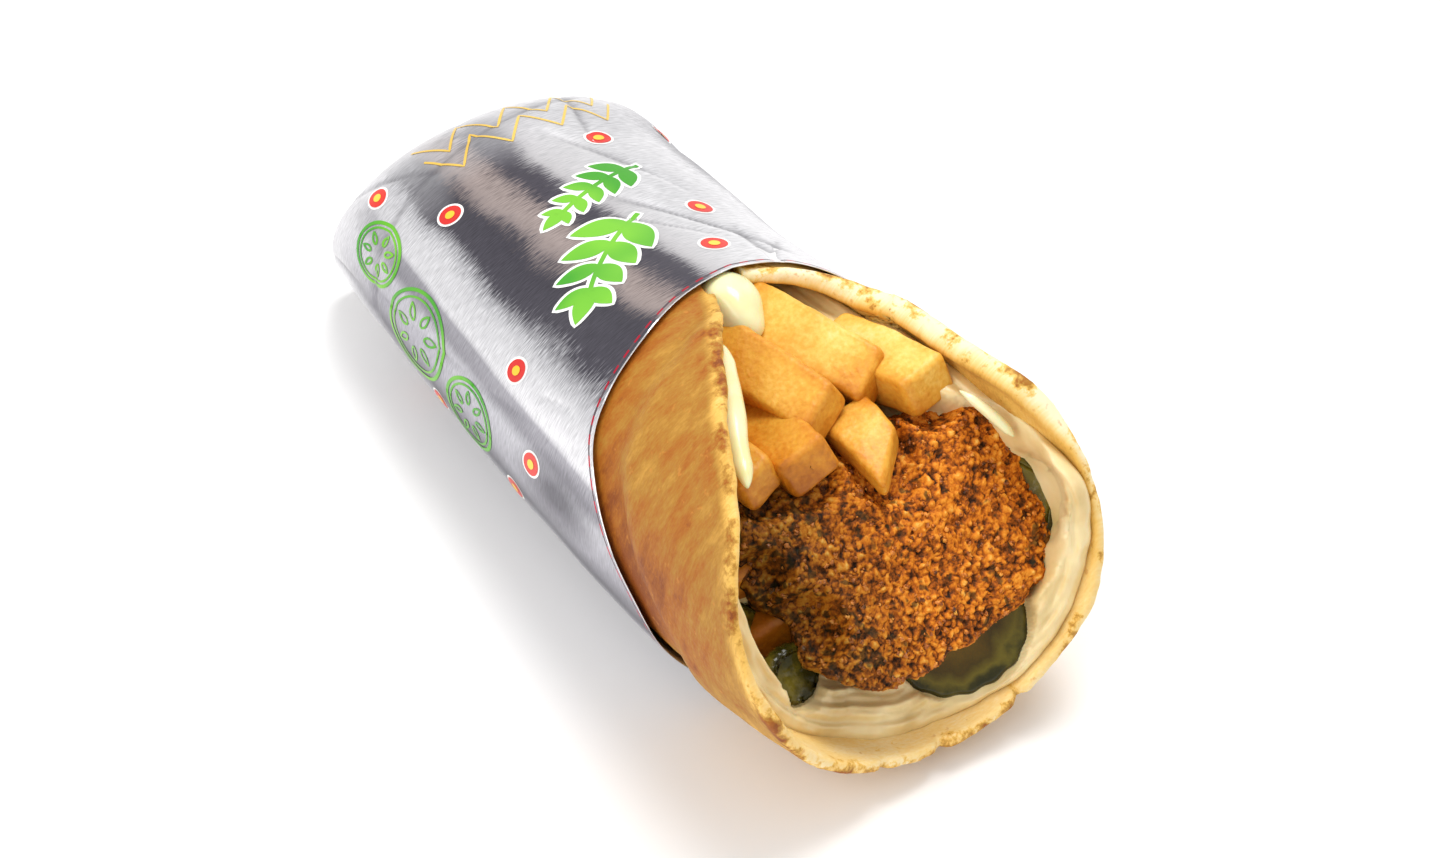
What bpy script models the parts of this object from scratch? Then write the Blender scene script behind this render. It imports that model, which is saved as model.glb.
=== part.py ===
"""A falafel sandwich: a flatbread rolled round cream, a falafel patty, fries and pickles, held in a foil-paper wrapper.

The roll lies along X with its mouth towards +X and its folded back end towards -X. A place on its skin is given by a
station, the distance in millimetres from the back end, by an angle round the axis in degrees, 0 at the far side (+Y),
90 on top, 180 at the near side (-Y) and 270 below, and by a depth under the skin. Other places are given as station,
side and height. All sizes are in millimetres until place() turns them into the model's metres.
"""
import math

import bmesh
import bpy
import numpy as np
from mathutils import Vector, noise

MM = 0.001
GAP = 0.3                       # clearance between neighbouring pieces
SHEET_GAP = 0.9                 # clearance between the rolled sheets, whose flat facets differ
CREAM_GAP = 1.5                 # clearance between the bread and the cream
GROWTHS = (1.6, 0.0)            # a cut takes out its neighbour grown by these shares of the gap: corners grow less
ROW_CROWD = 1.3                 # over 1, rows stand closer together towards the back end
ORIGIN_STATION = 92.6           # the model's origin lies under the middle of the whole
ORIGIN_SIDE = 2.0

# The roll's skin: an oval that grows from the flat back end to the mouth
STATIONS = (0, 10, 40, 80, 120, 160, 188)
HALF_WIDTH = (33.5, 38.0, 40.0, 40.5, 41.3, 41.6, 42.0)
HEIGHT = (29.0, 46.0, 55.0, 62.0, 73.0, 81.0, 84.0)
SIDE_SHIFT = (2.0, 2.0, 1.2, 0.3, 0.0, 1.4, 4.2)
SINK = 2.0                      # how much of the oval the table presses flat
LIFT_START = 130.0              # from here on the underside curves up
LIFT_END = 188.0
LIFT = 8.0

# The wrapper: a few layers of foil paper, its front rim cut at a slant, its back end folded shut
PAPER = 0.8
FOLD_STEPS = ((3.2, 0.14), (2.8, 0.30), (2.0, 0.54), (0.9, 0.80), (0.2, 0.93))
FOLD_NARROW = 0.07
RIM_ANGLE = (80, 100, 116, 134, 149, 161, 176, 189, 210, 235, 262, 290, 320, 350, 380, 400, 418, 440)
RIM_STATION = (104.7, 108, 112.5, 117, 121.6, 128.7, 138, 146, 149, 151, 152, 150, 144, 134, 121, 112, 106.5, 104.7)
WRAPPER_GRID = (36, 13)

# The flatbread: one sheet, rolled from its right edge down round the floor and up to its left edge
BREAD = 4.4
BREAD_DEPTH = PAPER + SHEET_GAP # inside the wrapper
BREAD_PROUD = 0.6               # beyond the wrapper the bread swells out of the roll's skin
SWELL_START = 6.0               # how far past the wrapper's rim the swell starts, and how long it takes
SWELL_LENGTH = 8.0
BREAD_TUCK = 1.3                # how much deeper the bread lies at the back end, and the station where this has faded
TUCK_END = 32.0
BREAD_BACK = 4.5
EDGE_ANGLE = (77, 68, 58, 50, 44, 41, 40, 38.5, 35.5, 30, 22, 12, -3, -18, -33, -58, -80, -97, -121, -150, -162, -170,
              -177, -185, -193, -204, -216, -228, -236, -245, -258, -270)
EDGE_STATION = (105, 107.5, 110, 114, 122, 133, 144, 152, 158.5, 163, 168, 172.5, 177, 181.5, 185, 187, 188, 188, 188.5,
                187.5, 186.5, 184.5, 182, 179, 176, 172.5, 167, 157.5, 149, 140, 125, 110)
BREAD_GRID = (38, 14)
BREAD_ROUND = 1.5

# The cream lines the mouth and fills the roll behind the pieces
CREAM_BACK = 24.0
CREAM_ANGLE = (80, 50, 38, 26, 18, 7, -5, -20, -40, -60, -80, -105, -125, -150, -170, -190, -210, -240, -280)
CREAM_STATION = (98, 118, 136, 153, 164, 173.5, 177, 179, 182.5, 183.5, 181, 179.5, 177, 176, 172, 164, 152, 128, 98)
CREAM_HEART = (148.0, 4.0, 26.0)
CREAM_SWELL = 3.0
CREAM_CLEAR = 8.0               # the cream is hollowed in front of the patty, up to this height over its face
CREAM_CLEAR_FULL = 0.8
CREAM_GRID = 32

# The falafel patty leans back on the cream
PATTY_FACE = (163.5, 6.4, 38.6)
PATTY_LEAN = 40.0               # degrees between its face and the table
PATTY_ANGLE = (0, 25, 46, 68, 95, 120, 142, 162, 186, 205, 225, 245, 264, 285, 304, 329, 345, 360)
PATTY_RADIUS = (33, 34.5, 30.5, 26.5, 25.5, 28, 33, 31, 26.5, 28.5, 28.5, 26.5, 24, 23.5, 25, 31.5, 33.2, 33)
PATTY_RISE = 3.5                # how far its face crowns out, and its back swells, from its widest outline
PATTY_BACK = 10.5
PATTY_FULL = 0.5                # how flat its face and how blunt its side are: 1 is an oval
CRAG = 1.3                      # how far its crumb stands and sinks
CRAG_SIZE = 6.0

# Fries: back end, front end, width, thickness, roll in degrees, and how far one corner of the front end runs on
FRIES = {
    "fry_1": ((106.5, 8.5, 55.0), (138.5, 18.5, 56.0), 13.0, 9.5, 28.0, -2.0),
    "fry_2": ((119.0, 21.0, 49.0), (146.0, 26.0, 57.0), 12.4, 11.0, 12.0, 1.0),
    "fry_3": ((107.0, -2.5, 53.5), (143.0, 4.0, 57.5), 13.0, 9.5, 28.0, -2.0),
    "fry_4": ((121.0, -2.0, 44.0), (152.0, -5.5, 56.0), 12.5, 10.0, 25.0, 1.0),
    "fry_5": ((139.0, 10.5, 51.5), (155.4, 10.8, 51.3), 11.5, 6.5, 15.0, -10.0),
    "fry_6": ((125.0, -17.0, 49.0), (150.5, -15.0, 55.0), 10.0, 9.0, 20.0, -1.0),
}
LOW_FRIES = {
    "fry_7": ((137.0, -21.5, 36.0), (155.0, -23.0, 35.0), 10.0, 9.0, 10.0, 0.0),
    "fry_8": ((139.0, -16.0, 22.0), (162.0, -17.5, 25.0), 12.0, 11.0, 25.0, 1.0),
}
FRY_BEND = 1.2
FRY_ROUND = 1.8
FRY_CUTS = 3

# Pickle slices: middle, direction of the face, radius, thickness
PICKLES = {
    "pickle_1": ((162.5, 32.5, 35.5), (0.60, -0.45, 0.65), 11.0, 4.0),
    "pickle_2": ((172.7, 15.0, 20.5), (0.70, -0.25, 0.66), 14.5, 4.2),
    "pickle_3": ((160.0, -26.5, 27.0), (0.75, 0.55, 0.38), 8.5, 3.6),
    "pickle_4": ((169.0, -20.5, 23.5), (0.80, 0.20, 0.56), 6.4, 4.6),
}
PICKLE_SIDES = 20

# Mayonnaise: a dollop under the rim, and beads between the bread and the filling
DOLLOP_AT = (108.0, 4.0, 60.0)
DOLLOP_SIZE = (8.0, 6.0, 6.0)
BEADS = {
    "mayo_left": ((-256, -224), 2.5, 5.6),
    "mayo_right": ((38, 19), 1.5, 7.0),
}
BEAD_POINTS = 9


def smooth(knots, values, at):
    """A smooth curve through knots and values, read at one point or many."""
    knots = np.asarray(knots, float)
    values = np.asarray(values, float)
    if knots[0] > knots[-1]:
        knots = knots[::-1]
        values = values[::-1]
    at = np.clip(at, knots[0], knots[-1])
    slope = np.diff(values) / np.diff(knots)
    tangent = np.concatenate([slope[:1], (slope[1:] + slope[:-1]) / 2, slope[-1:]])
    i = np.clip(np.searchsorted(knots, at) - 1, 0, len(slope) - 1)
    width = knots[i + 1] - knots[i]
    t = (at - knots[i]) / width
    return ((2 * t**3 - 3 * t**2 + 1) * values[i] + (t**3 - 2 * t**2 + t) * width * tangent[i]
            + (3 * t**2 - 2 * t**3) * values[i + 1] + (t**3 - t**2) * width * tangent[i + 1])


def skin(station, angle, depth=0.0):
    """A point of the roll at a depth under its skin: station, side and height."""
    turn = math.radians(angle)
    wide = smooth(STATIONS, HALF_WIDTH, station) - depth
    high = smooth(STATIONS, HEIGHT, station) - 2 * depth
    rise = min(max((station - LIFT_START) / (LIFT_END - LIFT_START), 0.0), 1.0)
    base = LIFT * rise**2 - SINK + depth
    side = smooth(STATIONS, SIDE_SHIFT, station) + wide * math.cos(turn)
    height = base + high / 2 * (1 + math.sin(turn))
    return (station, side, max(height, depth, 0.0))


def place(point):
    """Station, side and height in millimetres as a point of the model in metres."""
    return Vector(((point[0] - ORIGIN_STATION) * MM, (point[1] - ORIGIN_SIDE) * MM, point[2] * MM))


def rim(angle):
    """The station where the wrapper ends."""
    return smooth(RIM_ANGLE, RIM_STATION, (angle - RIM_ANGLE[0]) % 360 + RIM_ANGLE[0])


def edge(angle):
    """The station where the flatbread ends, for angles from its right edge down to its left edge."""
    return smooth(EDGE_ANGLE, EDGE_STATION, angle)


def material(name, colour, roughness, metallic=0.0):
    made = bpy.data.materials.new(name)
    made.use_nodes = True
    shader = made.node_tree.nodes["Principled BSDF"]
    shader.inputs["Base Color"].default_value = (*colour, 1.0)
    shader.inputs["Roughness"].default_value = roughness
    shader.inputs["Metallic"].default_value = metallic
    return made


def new_object(name, bm, collection, finish=None):
    mesh = bpy.data.meshes.new(name)
    bm.to_mesh(mesh)
    bm.free()
    made = bpy.data.objects.new(name, mesh)
    collection.objects.link(made)
    if finish:
        mesh.materials.append(finish)
    mesh.shade_smooth()
    mesh.set_sharp_from_angle(angle=math.radians(50))
    return made


def grid(columns, rows, point, closed):
    """A grid whose corners point(u, v) places, u going round and v along; closed joins its first and last column."""
    bm = bmesh.new()
    bmesh.ops.create_grid(bm, x_segments=columns, y_segments=rows, size=0.5)
    for vert in bm.verts:
        vert.co = place(point(vert.co.x + 0.5, vert.co.y + 0.5))
    if closed:
        bmesh.ops.remove_doubles(bm, verts=bm.verts, dist=MM * 0.001)
    return bm


def face_outwards(bm):
    """Turns an open sheet's faces away from the roll's axis."""
    lean = 0.0
    for face in bm.faces:
        middle = face.calc_center_median()
        axis = place(skin(middle.x / MM + ORIGIN_STATION, 90.0))
        lean += face.normal.dot(middle - Vector((middle.x, 0.0, axis.z / 2))) * face.calc_area()
    if lean < 0:
        bmesh.ops.reverse_faces(bm, faces=bm.faces)


def evaluated(target, collection, name):
    """The object's mesh with its modifiers applied, as a new object; the old one goes."""
    depsgraph = bpy.context.evaluated_depsgraph_get()
    mesh = bpy.data.meshes.new_from_object(target.evaluated_get(depsgraph))
    mesh.name = name
    bpy.data.objects.remove(target)
    made = bpy.data.objects.new(name, mesh)
    collection.objects.link(made)
    return made


def keep_largest(target):
    """Drops the scraps that a cut leaves loose, and keeps the largest body with its faces outwards."""
    bm = bmesh.new()
    bm.from_mesh(target.data)
    left = set(bm.verts)
    bodies = []
    while left:
        body = {left.pop()}
        front = list(body)
        while front:
            vert = front.pop()
            for near in (link.other_vert(vert) for link in vert.link_edges):
                if near in left:
                    left.remove(near)
                    body.add(near)
                    front.append(near)
        bodies.append(body)
    bodies.sort(key=len)
    for body in bodies[:-1]:
        bmesh.ops.delete(bm, geom=list(body), context="VERTS")
    bmesh.ops.recalc_face_normals(bm, faces=bm.faces)
    bm.to_mesh(target.data)
    bm.free()


def cut(target, neighbours, guides):
    """Takes the neighbours, each grown by the gap, out of the target."""
    name = target.name
    home = target.users_collection[0]
    for neighbour, growth in [(neighbour, growth) for neighbour in neighbours for growth in GROWTHS]:
        depsgraph = bpy.context.evaluated_depsgraph_get()
        mesh = bpy.data.meshes.new_from_object(neighbour.evaluated_get(depsgraph))
        grown = bpy.data.objects.new("grown_" + neighbour.name, mesh)
        guides.objects.link(grown)
        swell = grown.modifiers.new("swell", "DISPLACE")
        swell.strength = GAP * growth * MM
        swell.mid_level = 0.0
        grown.hide_render = True
        grown.display_type = "WIRE"
        boolean = target.modifiers.new("cut_" + neighbour.name, "BOOLEAN")
        boolean.operation = "DIFFERENCE"
        boolean.object = grown
        boolean.solver = "MANIFOLD"
    made = evaluated(target, home, name)
    for used in list(guides.objects):
        bpy.data.objects.remove(used)
    keep_largest(made)
    return made


def make_wrapper(parts):
    columns, rows = WRAPPER_GRID
    folds = len(FOLD_STEPS)

    def point(u, v):
        angle = 360.0 * u
        row = round(v * (rows + folds))
        if row >= folds:
            return skin(rim(angle) * ((row - folds) / rows)**ROW_CROWD, angle)
        back, share = FOLD_STEPS[row]
        station, side, height = skin(0.0, angle)
        middle = HEIGHT[0] / 2 - SINK
        side = SIDE_SHIFT[0] + (side - SIDE_SHIFT[0]) * (1 - FOLD_NARROW * (1 - share))
        return (-back, side, max(middle + (height - middle) * share, 0.0))

    bm = grid(columns, rows + folds, point, closed=True)
    last = [link for link in bm.edges if link.is_boundary and link.verts[0].co.x < place((-1, 0, 0)).x]
    bmesh.ops.contextual_create(bm, geom=last)
    face_outwards(bm)
    made = new_object("wrapper", bm, parts, material("foil paper", (0.60, 0.60, 0.62), 0.3, 0.9))
    wall = made.modifiers.new("wall", "SOLIDIFY")
    wall.thickness = PAPER * MM
    wall.offset = -1.0
    return made


def edge_walk(share):
    """The angle at a share of the way along the flatbread's front edge."""
    fine = np.linspace(EDGE_ANGLE[0], EDGE_ANGLE[-1], 700)
    places = np.array([skin(edge(angle), angle) for angle in fine])
    length = np.concatenate([[0.0], np.cumsum(np.linalg.norm(np.diff(places, axis=0), axis=1))])
    return np.interp(share * length[-1], length, fine)


def bread_depth(station, angle):
    """The bread lies inside the wrapper, and past its rim it swells a little out of the roll's skin."""
    out = min(max((station - rim(angle) - SWELL_START) / SWELL_LENGTH, 0.0), 1.0)
    tuck = BREAD_TUCK * max(1 - station / TUCK_END, 0.0)
    return BREAD_DEPTH + tuck - (BREAD_DEPTH + BREAD_PROUD) * out * out * (3 - 2 * out)


def make_bread(parts):
    walk = edge_walk(np.linspace(0.0, 1.0, BREAD_GRID[0] + 1))

    def point(u, v):
        even = EDGE_ANGLE[0] + (EDGE_ANGLE[-1] - EDGE_ANGLE[0]) * u
        angle = even + (walk[round(u * BREAD_GRID[0])] - even) * v
        station = BREAD_BACK + (edge(angle) - BREAD_BACK) * v**ROW_CROWD
        return skin(station, angle, bread_depth(station, angle))

    bm = grid(*BREAD_GRID, point, closed=False)
    face_outwards(bm)
    made = new_object("bread", bm, parts, material("toasted flatbread", (0.80, 0.52, 0.20), 0.7))
    wall = made.modifiers.new("wall", "SOLIDIFY")
    wall.thickness = BREAD * MM
    wall.offset = -1.0
    wall.use_even_offset = True
    round_over = made.modifiers.new("round over", "BEVEL")
    round_over.width = BREAD_ROUND * MM
    round_over.segments = 2
    round_over.limit_method = "ANGLE"
    round_over.angle_limit = math.radians(60)
    return evaluated(made, parts, "bread")


def lining(station, angle):
    """A point of the cream's outer face, just inside the bread."""
    return skin(station, angle, bread_depth(station, angle) + BREAD + CREAM_GAP)


def make_cream(parts):
    rows = ([("back", 0.0), ("back", 0.55)] + [("side", k / 9) for k in range(10)]
            + [("front", share) for share in (0.88, 0.74, 0.6, 0.4, 0.2, 0.0)])

    def point(u, v):
        angle = 80.0 - 360.0 * u
        kind, share = rows[round(v * (len(rows) - 1))]
        if kind == "back":
            station, side, height = lining(CREAM_BACK, angle)
            middle = lining(CREAM_BACK, 90.0)[2] / 2
            return (station, SIDE_SHIFT[0] + (side - SIDE_SHIFT[0]) * share, middle + (height - middle) * share)
        mouth = smooth(CREAM_ANGLE, CREAM_STATION, angle)
        if kind == "side":
            return lining(CREAM_BACK + (mouth - CREAM_BACK) * share**ROW_CROWD, angle)
        border = np.array(lining(mouth, angle))
        heart = np.array(CREAM_HEART)
        swell = CREAM_SWELL * math.sin(math.pi * min((1 - share) / 0.5, 1.0))
        return tuple(heart + (border - heart) * share + swell * lean_axes()[2])

    bm = grid(CREAM_GRID, len(rows) - 1, point, closed=True)
    bmesh.ops.recalc_face_normals(bm, faces=bm.faces)
    return new_object("cream", bm, parts, material("sesame cream", (0.80, 0.68, 0.40), 0.35))


def lean_axes():
    """The patty's own axes: across, up its face, and out of its face."""
    lean = math.radians(PATTY_LEAN)
    return (np.array((0.0, 1.0, 0.0)), np.array((-math.cos(lean), 0.0, math.sin(lean))),
            np.array((math.sin(lean), 0.0, math.cos(lean))))


def make_patty(name, parts, face_rise, fullness):
    across, along, out = lean_axes()
    face = np.array(PATTY_FACE)
    bm = bmesh.new()
    bmesh.ops.create_icosphere(bm, subdivisions=4, radius=1.0)
    for vert in bm.verts:
        x, y, z = vert.co
        turn = math.atan2(y, x)
        radius = smooth(PATTY_ANGLE, PATTY_RADIUS, math.degrees(turn) % 360) * math.hypot(x, y)**fullness
        rise = abs(z)**0.7 * (face_rise if z > 0 else -PATTY_BACK)
        if z < 0:
            radius *= 1 + 0.25 * z
        spot = face + (across * math.cos(turn) + along * math.sin(turn)) * radius + out * rise
        crag = noise.noise(Vector(spot) / CRAG_SIZE) + 0.5 * noise.noise(Vector(spot) / CRAG_SIZE * 2.1)
        away = spot - face + out * PATTY_BACK / 2
        vert.co = place(spot + away / np.linalg.norm(away) * crag * CRAG)
    return new_object(name, bm, parts, material("falafel crumb", (0.42, 0.17, 0.04), 0.85))


def make_fry(name, size, parts, finish):
    back, front, width, thick, roll, run_on = size
    back = np.array(back)
    run = np.array(front) - back
    length = np.linalg.norm(run)
    run = run / length
    side = np.cross((0.0, 0.0, 1.0), run)
    side = side / np.linalg.norm(side)
    top = np.cross(run, side)
    turn = math.radians(roll)
    side, top = side * math.cos(turn) + top * math.sin(turn), top * math.cos(turn) - side * math.sin(turn)
    bm = bmesh.new()
    bmesh.ops.create_cube(bm, size=1.0)
    for vert in bm.verts:
        vert.co = Vector((vert.co.x * length, vert.co.y * width, vert.co.z * thick))
    bmesh.ops.bevel(bm, geom=bm.edges[:], offset=FRY_ROUND, segments=1, affect="EDGES")
    for step in range(1, FRY_CUTS + 1):
        spot = length * (step / (FRY_CUTS + 1) - 0.5)
        bmesh.ops.bisect_plane(bm, geom=bm.verts[:] + bm.edges[:] + bm.faces[:], plane_co=(spot, 0, 0),
                               plane_no=(1, 0, 0))
    for vert in bm.verts:
        x, y, z = vert.co
        share = x / length + 0.5
        z += FRY_BEND * math.sin(math.pi * share)
        x += run_on * y / width * share**3
        narrow = 1 - 0.12 * share
        vert.co = place(back + run * x + run * length / 2 + side * y * narrow + top * z * narrow)
    bmesh.ops.recalc_face_normals(bm, faces=bm.faces)
    return new_object(name, bm, parts, finish)


def make_pickle(name, parts, finish):
    middle, facing, radius, thick = PICKLES[name]
    facing = Vector(facing).normalized()
    turn = facing.to_track_quat("Z", "Y")
    bm = bmesh.new()
    bmesh.ops.create_cone(bm, cap_ends=True, segments=PICKLE_SIDES, radius1=radius, radius2=radius, depth=thick)
    ring = [link for link in bm.edges if abs(link.verts[0].co.z - link.verts[1].co.z) < thick / 2]
    bmesh.ops.bevel(bm, geom=ring, offset=thick * 0.22, segments=1, affect="EDGES")
    for vert in bm.verts:
        angle = math.atan2(vert.co.y, vert.co.x)
        wave = 1 + 0.03 * math.sin(3 * angle + radius)
        vert.co = Vector((vert.co.x * wave, vert.co.y * wave * 0.94, vert.co.z))
        vert.co = place(Vector(middle) + turn @ vert.co)
    bmesh.ops.recalc_face_normals(bm, faces=bm.faces)
    return new_object(name, bm, parts, finish)


def make_dollop(parts, finish):
    bm = bmesh.new()
    bmesh.ops.create_icosphere(bm, subdivisions=3, radius=1.0)
    for vert in bm.verts:
        spot = [DOLLOP_AT[k] + DOLLOP_SIZE[k] * vert.co[k] for k in range(3)]
        vert.co = place(spot)
    return new_object("mayo_dollop", bm, parts, finish)


def make_bead(name, parts, finish):
    """A bead of mayonnaise that follows the bread's edge: a curve with a round section, turned into a mesh."""
    (start, end), thickness, depth = BEADS[name]
    curve = bpy.data.curves.new(name, "CURVE")
    curve.dimensions = "3D"
    curve.bevel_depth = thickness * MM
    curve.bevel_resolution = 2
    curve.use_fill_caps = True
    spline = curve.splines.new("POLY")
    spline.points.add(BEAD_POINTS - 1)
    for k, knot in enumerate(spline.points):
        share = k / (BEAD_POINTS - 1)
        angle = start + (end - start) * share
        station = edge(angle) - 1.0 if name == "mayo_left" else edge(angle) - 8.0
        knot.co = (*place(skin(station, angle, depth)), 1.0)
        knot.radius = 0.35 + 0.65 * math.sin(math.pi * share)
    made = bpy.data.objects.new(name, curve)
    parts.objects.link(made)
    made = evaluated(made, parts, name)
    bm = bmesh.new()
    bm.from_mesh(made.data)
    bmesh.ops.remove_doubles(bm, verts=bm.verts, dist=MM * 0.01)
    bmesh.ops.recalc_face_normals(bm, faces=bm.faces)
    bm.to_mesh(made.data)
    bm.free()
    made.data.materials.clear()
    made.data.materials.append(finish)
    return made


def main():
    for old in list(bpy.data.objects):
        bpy.data.objects.remove(old)
    parts = bpy.data.collections.new("falafel_sandwich")
    guides = bpy.data.collections.new("guides")
    room_guides = bpy.data.collections.new("room_guides")
    for made in (parts, guides, room_guides):
        bpy.context.scene.collection.children.link(made)
    wrapper = make_wrapper(parts)
    bread = make_bread(parts)
    fried = material("fried potato", (0.83, 0.50, 0.14), 0.55)
    brined = material("pickled cucumber", (0.14, 0.13, 0.03), 0.3)
    white = material("garlic mayonnaise", (0.80, 0.80, 0.48), 0.3)
    fries = []
    for name, size in FRIES.items():
        fries.append(cut(make_fry(name, size, parts, fried), fries + [bread], guides))
    patty = cut(make_patty("falafel_patty", parts, PATTY_RISE, PATTY_FULL), fries + [bread], guides)
    for name, size in LOW_FRIES.items():
        fries.append(cut(make_fry(name, size, parts, fried), fries + [patty, bread], guides))
    pickles = []
    for name in PICKLES:
        pickles.append(cut(make_pickle(name, parts, brined), fries + pickles + [patty, bread], guides))
    pieces = fries + [patty] + pickles
    mayo = [cut(make_dollop(parts, white), [wrapper, bread] + pieces, guides)]
    for name in BEADS:
        mayo.append(cut(make_bead(name, parts, white), [wrapper, bread] + pieces + mayo, guides))
    room = make_patty("room_over_the_patty", room_guides, CREAM_CLEAR, CREAM_CLEAR_FULL)
    cut(make_cream(parts), pieces + mayo + [room], guides)
    bpy.data.objects.remove(room)


main()
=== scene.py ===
"""The looks of a falafel sandwich: flatbread round sesame cream, a patty, fries and pickles, in foil paper.

A place on the roll's skin is given as in its solids: a station in millimetres from the back end, an angle
round the axis in degrees (0 at the far side, 90 on top, 180 at the near side, 270 below) and a depth under
the skin. Points are arrays of station, side and height in millimetres until place() turns them into the
model's metres.
"""
import math

import bmesh
import bpy
import numpy as np
from mathutils import Matrix, Vector, noise


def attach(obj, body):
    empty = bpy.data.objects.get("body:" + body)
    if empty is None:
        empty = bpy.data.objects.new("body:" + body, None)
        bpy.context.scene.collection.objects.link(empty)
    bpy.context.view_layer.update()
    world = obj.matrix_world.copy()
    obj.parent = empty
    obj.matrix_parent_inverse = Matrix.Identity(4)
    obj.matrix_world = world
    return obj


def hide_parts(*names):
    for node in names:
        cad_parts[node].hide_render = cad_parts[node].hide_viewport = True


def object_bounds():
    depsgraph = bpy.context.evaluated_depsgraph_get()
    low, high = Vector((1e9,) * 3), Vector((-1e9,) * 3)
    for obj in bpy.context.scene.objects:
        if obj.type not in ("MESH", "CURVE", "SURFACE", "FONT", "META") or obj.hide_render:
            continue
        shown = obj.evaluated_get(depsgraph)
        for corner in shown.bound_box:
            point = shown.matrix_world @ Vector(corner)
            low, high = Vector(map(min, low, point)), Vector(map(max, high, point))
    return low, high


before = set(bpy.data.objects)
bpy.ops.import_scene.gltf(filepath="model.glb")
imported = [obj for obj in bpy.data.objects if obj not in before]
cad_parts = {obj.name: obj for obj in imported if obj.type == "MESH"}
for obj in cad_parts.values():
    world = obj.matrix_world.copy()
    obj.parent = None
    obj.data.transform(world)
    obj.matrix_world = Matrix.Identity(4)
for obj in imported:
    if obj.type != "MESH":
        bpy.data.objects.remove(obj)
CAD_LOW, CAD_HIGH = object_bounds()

MM = 0.001
ORIGIN_STATION = 92.6
ORIGIN_SIDE = 2.0

# The roll's skin, as in the solids
STATIONS = (0, 10, 40, 80, 120, 160, 188)
HALF_WIDTH = (33.5, 38.0, 40.0, 40.5, 41.3, 41.6, 42.0)
HEIGHT = (29.0, 46.0, 55.0, 62.0, 73.0, 81.0, 84.0)
SIDE_SHIFT = (2.0, 2.0, 1.2, 0.3, 0.0, 1.4, 4.2)
SINK = 2.0
LIFT_START = 130.0
LIFT_END = 188.0
LIFT = 8.0

# The wrapper
PAPER = 0.8
FOIL_INSET = 0.25               # how far the foil's face lies inside the solid's; the print lies between
FOLD_BACK = 3.0                 # how far the folded end bulges
RIM_ANGLE = (80, 100, 116, 134, 149, 161, 176, 189, 210, 235, 262, 290, 320, 350, 380, 400, 418, 440)
RIM_STATION = (104.7, 108, 112.5, 117, 121.6, 128.7, 138, 146, 149, 151, 152, 150, 144, 134, 121, 112,
               106.5, 104.7)
ARC = 0.68                      # millimetres round the skin for each degree, for patterns
FOIL_COLUMNS = 300
FOIL_ROWS = 124
END_ROWS = 26                   # across the folded end

# The flatbread
BREAD = 4.4
BREAD_DEPTH = PAPER + 0.9
BREAD_PROUD = 0.6
SWELL_START = 6.0
SWELL_LENGTH = 8.0
BREAD_TUCK = 1.3
TUCK_END = 32.0
BREAD_BACK = 4.5
ROW_CROWD = 1.3
EDGE_ANGLE = (77, 68, 58, 50, 44, 41, 40, 38.5, 35.5, 30, 22, 12, -3, -18, -33, -58, -80, -97, -121, -150,
              -162, -170, -177, -185, -193, -204, -216, -228, -236, -245, -258, -270)
EDGE_STATION = (105, 107.5, 110, 114, 122, 133, 144, 152, 158.5, 163, 168, 172.5, 177, 181.5, 185, 187, 188,
                188, 188.5, 187.5, 186.5, 184.5, 182, 179, 176, 172.5, 167, 157.5, 149, 140, 125, 110)
BREAD_COLUMNS = 340
BREAD_ROWS = 74
RIM_ROUND = 1.5                 # how far the edge rounds forward from its flat sides
RIM_STEPS = 12
NOTCHES = (142.0, 161.1, 175.3)     # how far along the edge its small tears lie
NOTCH_DEPTH = 1.5
NOTCH_WIDTH = 1.3

# The cream
CREAM_BACK = 24.0
CREAM_ANGLE = (80, 50, 38, 26, 18, 7, -5, -20, -40, -60, -80, -105, -125, -150, -170, -190, -210, -240,
               -280)
CREAM_STATION = (98, 118, 136, 153, 164, 173.5, 177, 179, 182.5, 183.5, 181, 179.5, 177, 176, 172, 164,
                 152, 128, 98)
CREAM_HEART = (148.0, 4.0, 26.0)
CREAM_COLUMNS = 300
BOWL_ROWS = 86
MOUTH_FACES = (0.633, -0.389, 0.669)

# The falafel patty
PATTY_FACE = (163.5, 6.4, 38.6)
PATTY_LEAN = 40.0
PATTY_ANGLE = (0, 25, 46, 68, 95, 120, 142, 162, 186, 205, 225, 245, 264, 285, 304, 329, 345, 360)
PATTY_RADIUS = (33, 34.5, 30.5, 26.5, 25.5, 28, 33, 31, 26.5, 28.5, 28.5, 26.5, 24, 23.5, 25, 31.5,
                33.2, 33)
PATTY_RISE = 3.5
PATTY_BACK = 10.5
PATTY_GRID = 290
CRAG = 1.3
CRAG_SIZE = 6.0
BITES = ((1, 9, 2.2), (-163, 10, 2.5))      # turn and width in degrees and depth of two gaps in its outline
# Loose crumbs, per square metre and in metres
CRUMBS = {"Density": 120000.0, "Size": 0.00042, "Seed": 4}

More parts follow.
